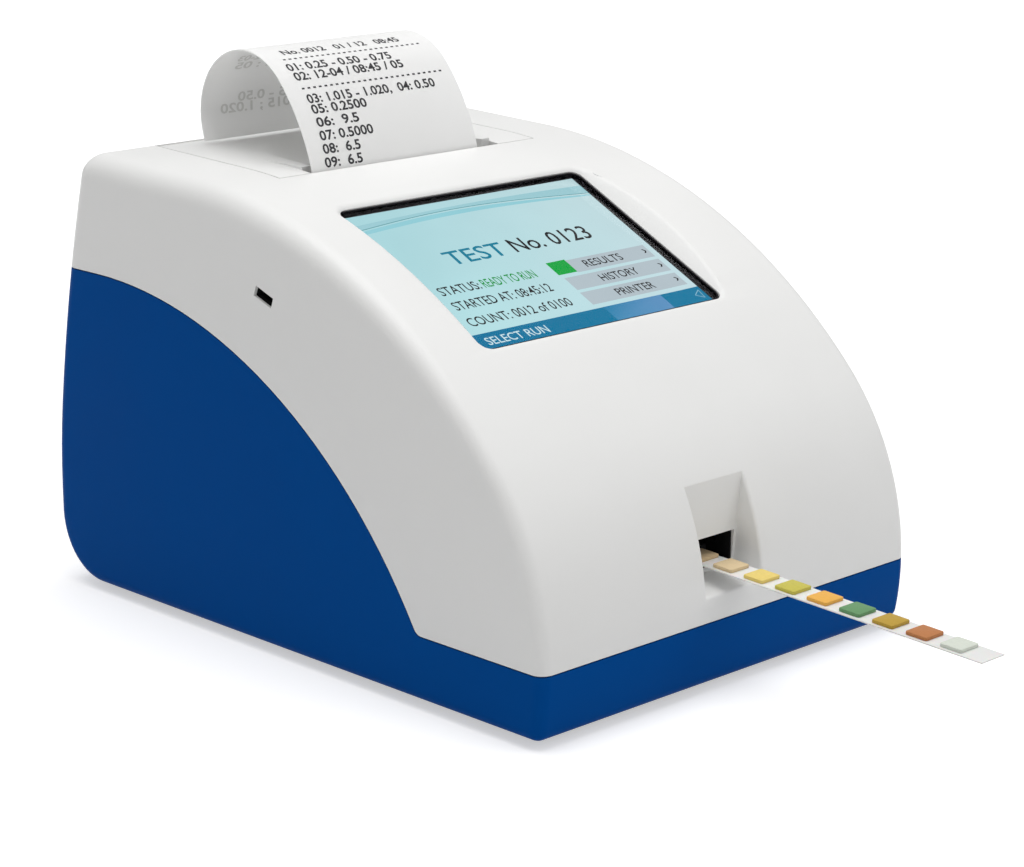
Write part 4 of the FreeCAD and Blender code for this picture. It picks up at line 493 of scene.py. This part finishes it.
bm = bmesh.new()
patch(square(picture_x, picture_y), 0, ground_colours)
for band in wave_bands:
    wave_band(*band)
for line in written_lines:
    write_line(*line)
patch(square(green_x, green_y), 2, green)
for left, top, word in buttons:
    patch(square((left, button_right), (top - button_height, top)), 1, button_grey)
    write_line(word, word_left, top - word_drop, word_height, dark, word_width)
    patch([(x, top - drop) for x, drop in chevron], 3, dark)
patch(square(picture_x, (picture_y[0], bar_top)), 1, [bar_blue, bar_end, bar_end, bar_blue])
patch(square(tab_ends, (picture_y[0], bar_top)), 2, tab_colours)
write_line("SELECT RUN", -36.9, -26.6, 2.9, pale, 20.4)
for number in range(3):
    (x0, y0), (x1, y1) = arrow_corners[number], arrow_corners[(number + 1) % 3]
    reach = math.hypot(x1 - x0, y1 - y0)
    off_x, off_y = (y1 - y0) / reach * arrow_line, (x0 - x1) / reach * arrow_line
    patch([(x0 - off_x, y0 - off_y), (x1 - off_x, y1 - off_y), (x1 + off_x, y1 + off_y),
           (x0 + off_x, y0 + off_y)], 3, arrow_blue)
bm.normal_update()
for face in bm.faces:
    if face.normal.z < 0:
        face.normal_flip()
bm.transform(screen_place)
new_piece("picture", bm, picture)

# Port shade: a black frame behind the mouth that keeps room light off the strip.
shade_black = grainy("shade_black", (0.012, 0.012, 0.013), (0.008, 0.008, 0.009), 0.75, grain=0.4,
                     depth=0.03, Specular_IOR_Level=0.2)
smooth_copy("port_shade", "mouth_shade", shade_black)
mouth_size, mouth_middle, mouth_lining = (18.7, 7.9), 32.2, 0.35
mouth_place = leaning((0, -45.05, mouth_middle), math.pi / 2)
bm = bmesh.new()
within = [size - mouth_lining * 2 for size in mouth_size]
add_ring(bm, rounded_outline(mouth_size, 0.4, steps=2), rounded_outline(within, 0.2, steps=2), -2.3, 0)
bm.transform(mouth_place)
new_piece("mouth_lining", bm, shade_black)

# Test strip: a stiff white film with ten absorbent pads glued on at an even pitch. Each pad is a
# soft-edged square of felted paper, and the colours run from the unit out to the tip.
strip_place = leaning((0, -47.3, 30), math.radians(2.5))
pad_size, pad_corner, pad_soft = (6.7, 6.1), 0.5, 0.2
pad_count, pad_first, pad_pitch, pad_middle, pad_low, pad_high = 10, 13.7, 9.8, 0.2, 0.3, 1.2
pad_colours = [eight_bit(*tone) for tone in
               ((214, 196, 160), (216, 190, 150), (232, 208, 166), (244, 218, 126), (210, 200, 92),
                (248, 188, 90), (112, 160, 112), (198, 163, 68), (198, 132, 84), (226, 232, 220))]

strip_film = grainy("strip_film", (0.86, 0.86, 0.85), (0.82, 0.82, 0.81), 0.35, grain=0.6, depth=0.004,
                    patch=12, Specular_IOR_Level=0.5, Subsurface_Weight=0.15, Subsurface_Scale=0.001)
smooth_copy("test_strip", "film", strip_film)

felted_fibres, given, put = shared_group("felted_fibres", {"Fibre Size": 0.15}, ("Height", "Gather"))
hairs = []
for turn, stretch in ((0.5, 0.25), (-0.9, 0.2)):
    lay = felted_fibres.nodes.new("ShaderNodeMapping")
    lay.inputs["Rotation"].default_value = (0, 0, turn)
    lay.inputs["Scale"].default_value = (1, stretch, 1)
    felted_fibres.links.new(own_place(felted_fibres), lay.inputs["Vector"])
    hairs.append(noise(felted_fibres, lay.outputs[0], given["Fibre Size"], 2))
felted_fibres.links.new(maths(felted_fibres, "MAXIMUM", *hairs), put["Height"])
felted_fibres.links.new(hairs[1], put["Gather"])


def fibrous(name, fibre, depth, roughness, deepen, colour_socket=None, colour=(0.8, 0.8, 0.78), **sockets):
    """A paper-like finish: one colour or an attribute's, a little deeper where fibres gather."""
    material, tree, shader = new_material(name)
    fibres = pattern(tree, felted_fibres, Fibre_Size=fibre)
    dye = (*colour, 1)
    if colour_socket:
        stored = tree.nodes.new("ShaderNodeAttribute")
        stored.attribute_name = colour_socket
        dye = stored.outputs["Color"]
    tree.links.new(mixed(tree, fibres["Gather"], dye, (deepen, deepen, deepen, 1), "MULTIPLY"),
                   shader.inputs["Base Color"])
    relief(tree, shader, fibres["Height"], depth)
    shader.inputs["Roughness"].default_value = roughness
    set_values(shader, sockets)
    return material


pad_felt = fibrous("pad_felt", 0.22, 0.09, 0.9, 0.82, colour_socket="dye", Specular_IOR_Level=0.15,
                   Sheen_Weight=0.1)


def geometry_tree(name, **kinds):
    """A geometry node tree with inputs of some kinds, and the sockets inside it."""
    tree = bpy.data.node_groups.new(name, "GeometryNodeTree")
    for way in ("INPUT", "OUTPUT"):
        tree.interface.new_socket("Geometry", in_out=way, socket_type="NodeSocketGeometry")
    for label, kind in kinds.items():
        tree.interface.new_socket(label, in_out="INPUT", socket_type="NodeSocket" + kind)
    return tree, tree.nodes.new("NodeGroupInput").outputs, tree.nodes.new("NodeGroupOutput").inputs


def set_on_points(tree, points, thing):
    """A node that sets an object's shape on each point."""
    shape = tree.nodes.new("GeometryNodeObjectInfo")
    spread = tree.nodes.new("GeometryNodeInstanceOnPoints")
    tree.links.new(thing, shape.inputs["Object"])
    tree.links.new(shape.outputs["Geometry"], spread.inputs["Instance"])
    tree.links.new(points, spread.inputs["Points"])
    return spread


def give_out(tree, instances, finish, put):
    """Makes instances into plain geometry in a finish, as what the tree gives out."""
    real = tree.nodes.new("GeometryNodeRealizeInstances")
    dress = tree.nodes.new("GeometryNodeSetMaterial")
    tree.links.new(instances, real.inputs["Geometry"])
    tree.links.new(real.outputs["Geometry"], dress.inputs["Geometry"])
    tree.links.new(finish, dress.inputs["Material"])
    tree.links.new(dress.outputs["Geometry"], put["Geometry"])


row_of_pads, given, put = geometry_tree("row_of_pads", Count="Int", First="Vector", Pitch="Vector",
                                        Pad="Object", Finish="Material")
row = row_of_pads.nodes.new("GeometryNodeMeshLine")
row.mode = "OFFSET"
for label, socket in (("Count", "Count"), ("First", "Start Location"), ("Pitch", "Offset")):
    row_of_pads.links.new(given[label], row.inputs[socket])
spread = set_on_points(row_of_pads, row.outputs["Mesh"], given["Pad"])
keep = row_of_pads.nodes.new("GeometryNodeStoreNamedAttribute")
keep.data_type = "INT"
keep.domain = "INSTANCE"
keep.inputs["Name"].default_value = "pad_number"
row_of_pads.links.new(spread.outputs["Instances"], keep.inputs["Geometry"])
row_of_pads.links.new(row_of_pads.nodes.new("GeometryNodeInputIndex").outputs["Index"], keep.inputs["Value"])
give_out(row_of_pads, keep.outputs["Geometry"], given["Finish"], put)


def grown_mesh(name, tree, values, points=((0, 0, 0),)):
    """The plain mesh that a node tree makes from some points, with its inputs set by name."""
    seed = bpy.data.meshes.new(name)
    seed.from_pydata(points, [], [])
    holder = bpy.data.objects.new(name, seed)
    scene.collection.objects.link(holder)
    modifier = holder.modifiers.new("grow", "NODES")
    modifier.node_group = tree
    for item in tree.interface.items_tree:
        if item.in_out == "INPUT" and item.name in values:
            modifier[item.identifier] = values[item.name]
    bpy.context.view_layer.update()
    mesh = bpy.data.meshes.new_from_object(holder.evaluated_get(bpy.context.evaluated_depsgraph_get()))
    bpy.data.objects.remove(holder)
    return mesh


bm = bmesh.new()
add_prism(bm, rounded_outline(pad_size, pad_corner, steps=4), pad_low, pad_high, pad_soft)
pad_mesh = bpy.data.meshes.new("pad")
bm.to_mesh(pad_mesh)
bm.free()
pad_template = bpy.data.objects.new("pad", pad_mesh)
scene.collection.objects.link(pad_template)
pads_mesh = grown_mesh("pads", row_of_pads, {
    "Count": pad_count, "First": (pad_middle, pad_first, 0), "Pitch": (0, -pad_pitch, 0),
    "Pad": pad_template, "Finish": pad_felt})
bpy.data.objects.remove(pad_template)
bm = bmesh.new()
bm.from_mesh(pads_mesh)
numbers = bm.verts.layers.int.get("pad_number")
dye = bm.verts.layers.float_color.new("dye")
for vertex in bm.verts:
    vertex[dye] = (*pad_colours[vertex[numbers]], 1)
bm.transform(strip_place)
new_piece("pads", bm, pad_felt, body="carriage", node="reagent_pads", smooth=35)

# Paper: one length of smooth white thermal paper. It runs from the roll to the print head and
# out of the slot, and the printed end loops over the cover. Only plain figures are printed.
paper_start, paper_lead, paper_lead_angle = (61.2, 104.75), 9.5, 95
paper_bends, paper_half = ((8, 73), (55, 48), (20, 8), (18, -104)), 0.125
row_height, row_step, ink_lift = 2.6, 0.5, 0.02
thermal_paper = fibrous("thermal_paper", 0.12, 0.008, 0.5, 0.985, colour=(0.98, 0.98, 0.97),
                        Specular_IOR_Level=0.4, Subsurface_Weight=0.35, Subsurface_Scale=0.002,
                        Subsurface_Radius=(1, 1, 1))
smooth_copy("printout", "printed_length", thermal_paper, angle=40)
smooth_copy("paper_web", "paper_feed", thermal_paper)


def on_paper(x, along, lift):
    """A point of the printed length, a distance along it and a height off its middle."""
    y, z = paper_start
    angle = math.radians(paper_lead_angle)
    y, z = y + min(along, paper_lead) * math.cos(angle), z + min(along, paper_lead) * math.sin(angle)
    along = max(along - paper_lead, 0)
    for radius, end in paper_bends:
        turn = min(along / radius, angle - math.radians(end))
        centre = (y + radius * math.sin(angle), z - radius * math.cos(angle))
        angle -= turn
        along -= turn * radius
        y, z = centre[0] - radius * math.sin(angle), centre[1] + radius * math.cos(angle)
        if along <= 1e-6:
            break
    return Vector((x, y - lift * math.sin(angle), z + lift * math.cos(angle))) * mm


def print_rows(rows, lift, mirrored=False):
    """Lines of figures laid on the bent paper, cut fine enough to follow it."""
    bm = bmesh.new()
    for text, foot, left, right in rows:
        faces, natural = lettering(text, 0.022)
        squeeze = (right - left) / natural
        row = bmesh.new()
        for face in faces:
            row.faces.new([row.verts.new((left + x * squeeze, foot + y * row_height, 0)) for x, y in face])
        level = foot - row_height
        while level < foot + row_height * 1.5:
            every = row.verts[:] + row.edges[:] + row.faces[:]
            bmesh.ops.bisect_plane(row, geom=every, plane_co=(0, level, 0), plane_no=(0, 1, 0))
            level += row_step
        for face in row.faces:
            corners = [(vertex.co.x, vertex.co.y) for vertex in face.verts]
            if mirrored:
                corners = [(left + right - x, foot * 2 - y) for x, y in corners]
            bm.faces.new([bm.verts.new(on_paper(x, y, lift)) for x, y in corners])
        row.free()
    bm.normal_update()
    return bm


dashes = "- " * 26
figures = (("No. 0012   01 / 12   08:45", 45.7, -25.6, 14.5), (dashes, 42.8, -27.6, 19.4),
           ("01: 0.25 - 0.50 - 0.75", 39.3, -28.6, 6.8), ("02: 12-04 / 08:45 / 05", 36.1, -28.2, 8.9),
           (dashes, 32.8, -27.8, 20.6), ("03: 1.015 - 1.020,  04: 0.50", 29.3, -27.7, 16.3),
           ("05: 0.2500", 26.3, -27.7, -9.2), ("06:  9.5", 22.7, -27.7, -13.5),
           ("07: 0.5000", 19.1, -28.1, -10.1), ("08:  6.5", 15.6, -28.3, -15.7),
           ("09:  6.5", 12.1, -28.7, -16.0))
thermal_black = grainy("thermal_print_black", (0.022, 0.021, 0.024), (0.05, 0.05, 0.055), 0.6, grain=0.25,
                       depth=0.001, patch=1.5, Specular_IOR_Level=0.3)
new_piece("printed_figures", print_rows(figures, paper_half + ink_lift), thermal_black,
          body="cover")
show_through = grainy("print_showing_through", (0.74, 0.74, 0.72), (0.8, 0.8, 0.78), 0.6, grain=0.25,
                      depth=0.001, patch=2)
faint_rows = (("01-02-03", 66.4, -25.7, -10), ("04 : 05", 69.6, -25.0, -9),
              ("0.25 - 0.50", 79.6, -21.1, 2), ("1.015 ; 1.020", 82.4, -26.9, 0))
new_piece("figures_showing_through", print_rows(faint_rows, -paper_half - ink_lift, True), show_through,
          body="cover")

# Plain metal parts: zinc-plated sheet, steel screws and pins, nickel socket shells, aluminium
# and motor cans. They share one pattern of fine lines left by rolling or turning.
rolled_lines, given, put = shared_group(
    "rolled_lines", {"Line Size": 0.12, "Lay": (1, 0.04, 1), "Roughness": 0.35, "Spread": 0.2},
    ("Height", "Roughness"))
laid = vector_maths(rolled_lines, "MULTIPLY", own_place(rolled_lines), given["Lay"])
lines = noise(rolled_lines, laid, given["Line Size"], 3)
rolled_lines.links.new(lines, put["Height"])
rolled_lines.links.new(maths(rolled_lines, "MULTIPLY_ADD", lines, given["Spread"], given["Roughness"]),
                       put["Roughness"])


def metal(name, colour, roughness, lay=(1, 0.04, 1), line=0.12, depth=0.003):
    """A bare or plated metal with the rolled lines and a plain metallic value."""
    material, tree, shader = new_material(name)
    drawn = pattern(tree, rolled_lines, Lay=lay, Line_Size=line, Roughness=roughness)
    tree.links.new(drawn["Roughness"], shader.inputs["Roughness"])
    relief(tree, shader, drawn["Height"], depth)
    set_values(shader, {"Base_Color": (*colour, 1), "Metallic": 1})
    return material


zinc_plate = metal("zinc_plate", (0.6, 0.61, 0.63), 0.26)
screw_steel = metal("screw_steel", (0.5, 0.5, 0.51), 0.2, lay=(1, 1, 0.1), line=0.3)
nickel_shell = metal("nickel_shell", (0.66, 0.64, 0.6), 0.2)
dark_shell = metal("dark_nickel_shell", (0.07, 0.07, 0.07), 0.4)
aluminium = metal("milled_aluminium", (0.78, 0.79, 0.8), 0.3, lay=(1, 1, 0.05), line=0.2)
motor_can = metal("motor_can_steel", (0.5, 0.5, 0.5), 0.32, lay=(0.1, 1, 1), line=0.25)

# Moulded and other inner parts: black and grey plastics, natural gear plastic, roller rubber,
# the ceramic print head with its glazed line, and the wound card core.
black_plastic = grainy("black_plastic", (0.02, 0.02, 0.021), (0.014, 0.014, 0.015), 0.45)
port_plastic = grainy("dark_carriage_plastic", (0.016, 0.016, 0.017), (0.011, 0.011, 0.012), 0.6,
                      Specular_IOR_Level=0.2)
gear_plastic = grainy("natural_gear_plastic", (0.8, 0.78, 0.7), (0.75, 0.73, 0.65), 0.4, grain=0.2,
                      depth=0.006, Subsurface_Weight=0.2, Subsurface_Scale=0.001)
roller_rubber = grainy("roller_rubber", (0.03, 0.03, 0.032), (0.02, 0.02, 0.021), 0.65, grain=0.15,
                       depth=0.03, Specular_IOR_Level=0.3)
core_card = fibrous("wound_core_card", 0.3, 0.05, 0.85, 0.75, colour=(0.42, 0.3, 0.18))

glaze_height, glaze_half, glaze_edge = 101.0, 1.2, 0.1
head_ceramic, tree, shader = new_material("glazed_head_ceramic")
axes = tree.nodes.new("ShaderNodeSeparateXYZ")
tree.links.new(own_place(tree), axes.inputs[0])
apart = maths(tree, "ABSOLUTE", maths(tree, "SUBTRACT", axes.outputs["Z"], glaze_height * mm))
glazed = mapped(tree, apart, (1, 0), (glaze_half * mm, (glaze_half + glaze_edge) * mm))
tree.links.new(mixed(tree, glazed, (0.72, 0.71, 0.67, 1), (0.06, 0.03, 0.02, 1)),
               shader.inputs["Base Color"])
tree.links.new(mapped(tree, glazed, (0.55, 0.08)), shader.inputs["Roughness"])


# Screws: steel machine screws with domed heads, a cross recess and a rolled thread. A node
# tree sets one screw at each place, for the casing, the screen, the deck and the boards.
def screw_mesh(head, neck, reach, dome, turns_per_mm=1.25, sides=20):
    """One screw along the height axis: the head's top at zero, the threaded shank below it."""
    bm = bmesh.new()

    def ring(radius, height, wobble=0.0, phase=0.0):
        points = []
        for side in range(sides):
            angle = side / sides * math.tau
            wave_part = abs(((angle / math.tau + phase) % 1) * 2 - 1)
            reach_out = radius - wobble * wave_part
            points.append(bm.verts.new((reach_out * math.cos(angle), reach_out * math.sin(angle), height)))
        return points

    cross, arm, recess_taper, recess_depth = head * 0.55, head * 0.13, 0.8, 0.7
    dome_profile = ((0.72, 0), (0.93, 0.22), (1, 0.6), (1, 1))
    thread_depth, steps_per_turn, fewest_steps, tip_share = 0.16, 5, 4, 0.6
    outline = [(cross, arm), (arm, arm), (arm, cross), (-arm, cross), (-arm, arm), (-cross, arm),
               (-cross, -arm), (-arm, -arm), (-arm, -cross), (arm, -cross), (arm, -arm), (cross, -arm)]
    top = [bm.verts.new((x, y, 0)) for x, y in outline]
    low = [bm.verts.new((x * recess_taper, y * recess_taper, -dome * recess_depth)) for x, y in outline]
    count = len(outline)
    for n in range(count):
        bm.faces.new((top[n], top[(n + 1) % count], low[(n + 1) % count], low[n]))
    bm.faces.new(low)
    rings = [ring(head * share, -dome * drop) for share, drop in dome_profile]
    rings.append(ring(neck, -dome))
    steps = max(int((reach - dome) * turns_per_mm * steps_per_turn), fewest_steps)
    for step in range(1, steps):
        height = -dome - (reach - dome) * step / steps
        rings.append(ring(neck, height, neck * thread_depth, height * turns_per_mm))
    rings.append(ring(neck * tip_share, -reach))
    for one, two in zip(rings, rings[1:]):
        for n in range(sides):
            bm.faces.new((one[n], two[n], two[(n + 1) % sides], one[(n + 1) % sides]))
    bm.faces.new(rings[-1][::-1])
    loops = [edge for edge in bm.edges if len(edge.link_faces) == 1]
    bmesh.ops.bridge_loops(bm, edges=loops)
    bmesh.ops.recalc_face_normals(bm, faces=bm.faces)
    mesh = bpy.data.meshes.new("screw")
    bm.to_mesh(mesh)
    bm.free()
    return mesh


set_of_screws, given, put = geometry_tree("set_of_screws", Screw="Object", Turn="Vector", Finish="Material")
spread = set_on_points(set_of_screws, given["Geometry"], given["Screw"])
set_of_screws.links.new(given["Turn"], spread.inputs["Rotation"])
give_out(set_of_screws, spread.outputs["Instances"], given["Finish"], put)


def solids_of(node):
    """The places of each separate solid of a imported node, in millimetres."""
    bm = bmesh.new()
    bm.from_mesh(frame["nodes"][node].data)
    bmesh.ops.remove_doubles(bm, verts=bm.verts, dist=weld_distance)
    seen, solids = set(), []
    for start in bm.verts:
        waiting, solid = [start], []
        while waiting:
            vertex = waiting.pop()
            if vertex not in seen:
                seen.add(vertex)
                solid.append(vertex.co / mm)
                waiting.extend(edge.other_vert(vertex) for edge in vertex.link_edges)
        if solid:
            solids.append(solid)
    bm.free()
    return solids


def fit_screws(node, name, turn=0.0):
    """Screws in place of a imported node's plain ones, which are alike, at their places and size."""
    spin = Matrix.Rotation(turn, 3, "X")
    rim_share, hair = 0.9, 0.05
    points, sizes = [], None
    for solid in solids_of(node):
        local = [spin.inverted() @ place for place in solid]
        middle = [(min(p[n] for p in local) + max(p[n] for p in local)) / 2 for n in (0, 1)]
        out = [(math.hypot(p.x - middle[0], p.y - middle[1]), p.z) for p in local]
        head = max(radius for radius, height in out)
        rims = [height for radius, height in out if radius > head * rim_share]
        top, foot = max(height for radius, height in out), min(height for radius, height in out)
        upward = top - max(rims) < min(rims) - foot
        under = min(rims) if upward else max(rims)
        shank = [radius for radius, height in out
                 if hair < radius and (height < under - hair if upward else height > under + hair)]
        end = top if upward else foot
        points.append(spin @ Vector((middle[0], middle[1], end)) * mm)
        sizes = (head, max(shank), top - foot, abs(end - under), upward)
    head, neck, reach, dome, upward = sizes
    template = bpy.data.objects.new("screw", screw_mesh(head, neck, reach, dome))
    template.data.transform(Matrix.Scale(mm, 4))
    scene.collection.objects.link(template)
    mesh = grown_mesh(name, set_of_screws, {"Screw": template, "Finish": screw_steel,
                                            "Turn": (turn if upward else turn + math.pi, 0, 0)}, points)
    bpy.data.objects.remove(template)
    bm = bmesh.new()
    bm.from_mesh(mesh)
    bmesh.ops.remove_doubles(bm, verts=bm.verts, dist=1e-7)
    new_piece(name, bm, screw_steel, node=node, smooth=35)


fit_screws("casing_screws", "long_casing_screws")
fit_screws("screen_screws", "screen_holding_screws", screen_lean)
fit_screws("deck_screws", "deck_holding_screws")
fit_screws("board_screws", "board_holding_screws")

# Screen fixings: a zinc-plated steel plate and the display's own metal can hold the glass up
# under the opening, screwed into four posts of the upper casing.
smooth_copy("screen_plate", "screen_holding_plate", zinc_plate)
smooth_copy("display_module", "display_can", zinc_plate)

# Circuit boards: green lacquered boards with copper tracks under the lacquer and small tinned
# joints, in a pattern that all five boards share, with black packages on the main ones.
tracks_per_metre, fields_per_metre, joints_per_metre = 700, 110, 280
track_share, joint_share = 0.3, 0.16
board_pattern, given, put = shared_group("board_pattern", {}, ("Tracks", "Joints"))
axes = board_pattern.nodes.new("ShaderNodeSeparateXYZ")
board_pattern.links.new(own_place(board_pattern), axes.inputs[0])
runs = []
for axis in ("X", "Y"):
    along = maths(board_pattern, "FRACT",
                  maths(board_pattern, "MULTIPLY", axes.outputs[axis], tracks_per_metre))
    runs.append(maths(board_pattern, "GREATER_THAN", along, 1 - track_share))
fields = board_pattern.nodes.new("ShaderNodeTexVoronoi")
fields.distance = "CHEBYCHEV"
fields.inputs["Scale"].default_value = fields_per_metre
dots = board_pattern.nodes.new("ShaderNodeTexVoronoi")
dots.inputs["Scale"].default_value = joints_per_metre
for cells in (fields, dots):
    board_pattern.links.new(own_place(board_pattern), cells.inputs["Vector"])
side = board_pattern.nodes.new("ShaderNodeSeparateColor")
board_pattern.links.new(fields.outputs["Color"], side.inputs[0])
tracks = board_pattern.nodes.new("ShaderNodeMix")
for name, source in (("Factor", maths(board_pattern, "GREATER_THAN", side.outputs[0], 0.5)),
                     ("A", runs[0]), ("B", runs[1])):
    board_pattern.links.new(source, tracks.inputs[name])
board_pattern.links.new(tracks.outputs["Result"], put["Tracks"])
board_pattern.links.new(maths(board_pattern, "LESS_THAN", dots.outputs["Distance"], joint_share),
                        put["Joints"])

board_green, tree, shader = new_material("lacquered_board")
copper = pattern(tree, board_pattern)
lacquer = mixed(tree, copper["Tracks"], (0.006, 0.07, 0.025, 1), (0.02, 0.16, 0.05, 1))
tree.links.new(mixed(tree, copper["Joints"], lacquer, (0.6, 0.6, 0.58, 1)), shader.inputs["Base Color"])
relief(tree, shader, maths(tree, "MAXIMUM", copper["Tracks"], copper["Joints"]), 0.03)
shader.inputs["Roughness"].default_value = 0.35
for board in ("main_board", "connector_board", "side_port_board", "lamp_board", "sensor_board"):
    smooth_copy(board, board + "_lacquered", board_green)
smooth_copy("board_components", "board_packages", black_plastic)

# Sockets and switch: a dark shell in the side slot with its contact tongue, plated shells on
# the rear panel, a round power jack, and a rocker switch marked I and O.
smooth_copy("side_data_socket", "side_socket_shell", dark_shell)
side_slot, slot_corner, slot_lining, slot_depth = (6.78, 2.78), 0.3, 0.14, 1.8
sideways = Matrix(((0, 0, 1, 0), (1, 0, 0, 0), (0, 1, 0, 0), (0, 0, 0, 1)))
slot_place = leaning((-65.2, 40.9, 92), math.radians(19.6)) @ sideways
within = [size - slot_lining * 2 for size in side_slot]
bm = bmesh.new()
add_ring(bm, rounded_outline(side_slot, slot_corner), rounded_outline(within, slot_corner - slot_lining),
         0, slot_depth)
bm.transform(slot_place)
new_piece("side_slot_lining", bm, shade_black)
smooth_copy("computer_socket", "computer_socket_shell", nickel_shell)
smooth_copy("accessory_sockets", "accessory_socket_shells", nickel_shell)
smooth_copy("power_jack", "jack_housing", black_plastic)
smooth_copy("switch_housing", "switch_frame", black_plastic)
rocker_black = grainy("rocker_black", (0.014, 0.014, 0.015), (0.01, 0.01, 0.011), 0.3, grain=0.2, depth=0.01)
smooth_copy("power_rocker", "rocker_cap", rocker_black)
rocker_mesh = frame["nodes"]["power_rocker"].data
rocker_tree = BVHTree.FromPolygons([vertex.co for vertex in rocker_mesh.vertices],
                                   [face.vertices[:] for face in rocker_mesh.polygons])
mark_x, mark_up, mark_down, mark_half, mark_line, mark_steps = 49.0, 30.4, 23.2, 1.7, 0.45, 24
ray_start, paint_lift = 160, 0.012
mark_paint = grainy("white_mark_paint", (0.8, 0.8, 0.8), (0.74, 0.74, 0.74), 0.5, grain=0.2, depth=0.002)
bm = bmesh.new()


def on_rocker(x, z):
    """The point of the rocker's face behind a place, just clear of it."""
    place = rocker_tree.ray_cast(Vector((x, ray_start, z)) * mm, Vector((0, -1, 0)))[0]
    return bm.verts.new(place + Vector((0, paint_lift, 0)) * mm)


for step in range(mark_steps):
    turns = [(step + part) / mark_steps * math.tau for part in (0, 1)]
    bm.faces.new([on_rocker(mark_x + radius * math.cos(turn), mark_down + radius * math.sin(turn))
                  for radius, turn in ((mark_half, turns[0]), (mark_half - mark_line, turns[0]),
                                       (mark_half - mark_line, turns[1]), (mark_half, turns[1]))])
bm.faces.new([on_rocker(mark_x + x, mark_up + z) for x, z in
              ((mark_line / 2, -mark_half), (mark_line / 2, mark_half), (-mark_line / 2, mark_half),
               (-mark_line / 2, -mark_half))])
bmesh.ops.recalc_face_normals(bm, faces=bm.faces)
for face in bm.faces:
    if face.normal.y < 0:
        face.normal_flip()
new_piece("rocker_marks", bm, mark_paint, body="rocker")

# Strip drive: a dark plastic carriage with a rack slides in its guide, pushed by a pinion on
# a small motor. The optical head above holds a lamp board, a window and a sensor board.
smooth_copy("strip_carriage", "dark_carriage", port_plastic)
smooth_copy("carriage_guide", "guide_rail", port_plastic)
smooth_copy("drive_pinion", "strip_pinion", gear_plastic)
smooth_copy("drive_motor", "strip_motor", motor_can)
smooth_copy("optical_head", "optics_block", port_plastic)
smooth_copy("optics_window", "reading_window", glass_clear)

# Cover and platen: a steel pin through the cover's ears, and a rubber-coated roller on a steel
# shaft that lifts with the cover in two plain bushes.
smooth_copy("cover_hinge_pin", "hinge_pin", screw_steel)
smooth_copy("platen_bushes", "shaft_bushes", gear_plastic)
smooth_copy("platen_shaft", "roller_shaft", nickel_shell)
smooth_copy("platen_roller", "rubber_roller", roller_rubber)
smooth_copy("platen_gear", "roller_gear", gear_plastic)

# Printer mechanism: a folded steel frame with the feed motor and gears on one end, and the
# ceramic head on its aluminium heatsink, pressed to the roller by two springs.
smooth_copy("printer_frame", "folded_frame", zinc_plate)
smooth_copy("idler_gear", "feed_idler", gear_plastic)
smooth_copy("idler_pin", "feed_idler_pin", screw_steel)
smooth_copy("motor_pinion", "feed_pinion", nickel_shell)
smooth_copy("printer_motor", "feed_motor", motor_can)
smooth_copy("print_head", "ceramic_head", head_ceramic)
smooth_copy("head_heatsink", "finned_heatsink", aluminium)
smooth_copy("head_springs", "pressure_springs", screw_steel)

# Paper roll: thermal paper wound on a card core, so that its ends show fine rings, on a plastic
# spindle that rests in the sides of the bin.
roll_middle, wound_step = (88.7, 84.0), 0.5
wound_paper, tree, shader = new_material("wound_thermal_paper")
centred = vector_maths(tree, "SUBTRACT", own_place(tree), (0, roll_middle[0] * mm, roll_middle[1] * mm))
radius = vector_maths(tree, "LENGTH", vector_maths(tree, "MULTIPLY", centred, (0, 1, 1)), result="Value")
rings = maths(tree, "SINE", maths(tree, "MULTIPLY", radius, math.tau / (wound_step * mm)))
ring_shade = mixed(tree, mapped(tree, rings, (0, 1), (-1, 1)), (0.76, 0.76, 0.74, 1), (0.86, 0.86, 0.85, 1))
tree.links.new(ring_shade, shader.inputs["Base Color"])
relief(tree, shader, rings, 0.02)
shader.inputs["Roughness"].default_value = 0.6
smooth_copy("paper_roll", "wound_roll", wound_paper)
smooth_copy("roll_core", "card_core", core_card)
smooth_copy("roll_spindle", "plastic_spindle", black_plastic)
smooth_copy("paper_bin", "roll_bin", black_plastic)

# Deck: a zinc-plated steel plate on four turned pillars carries the printer and the bin.
smooth_copy("printer_deck", "steel_deck", zinc_plate)
smooth_copy("deck_pillars", "turned_pillars", nickel_shell)
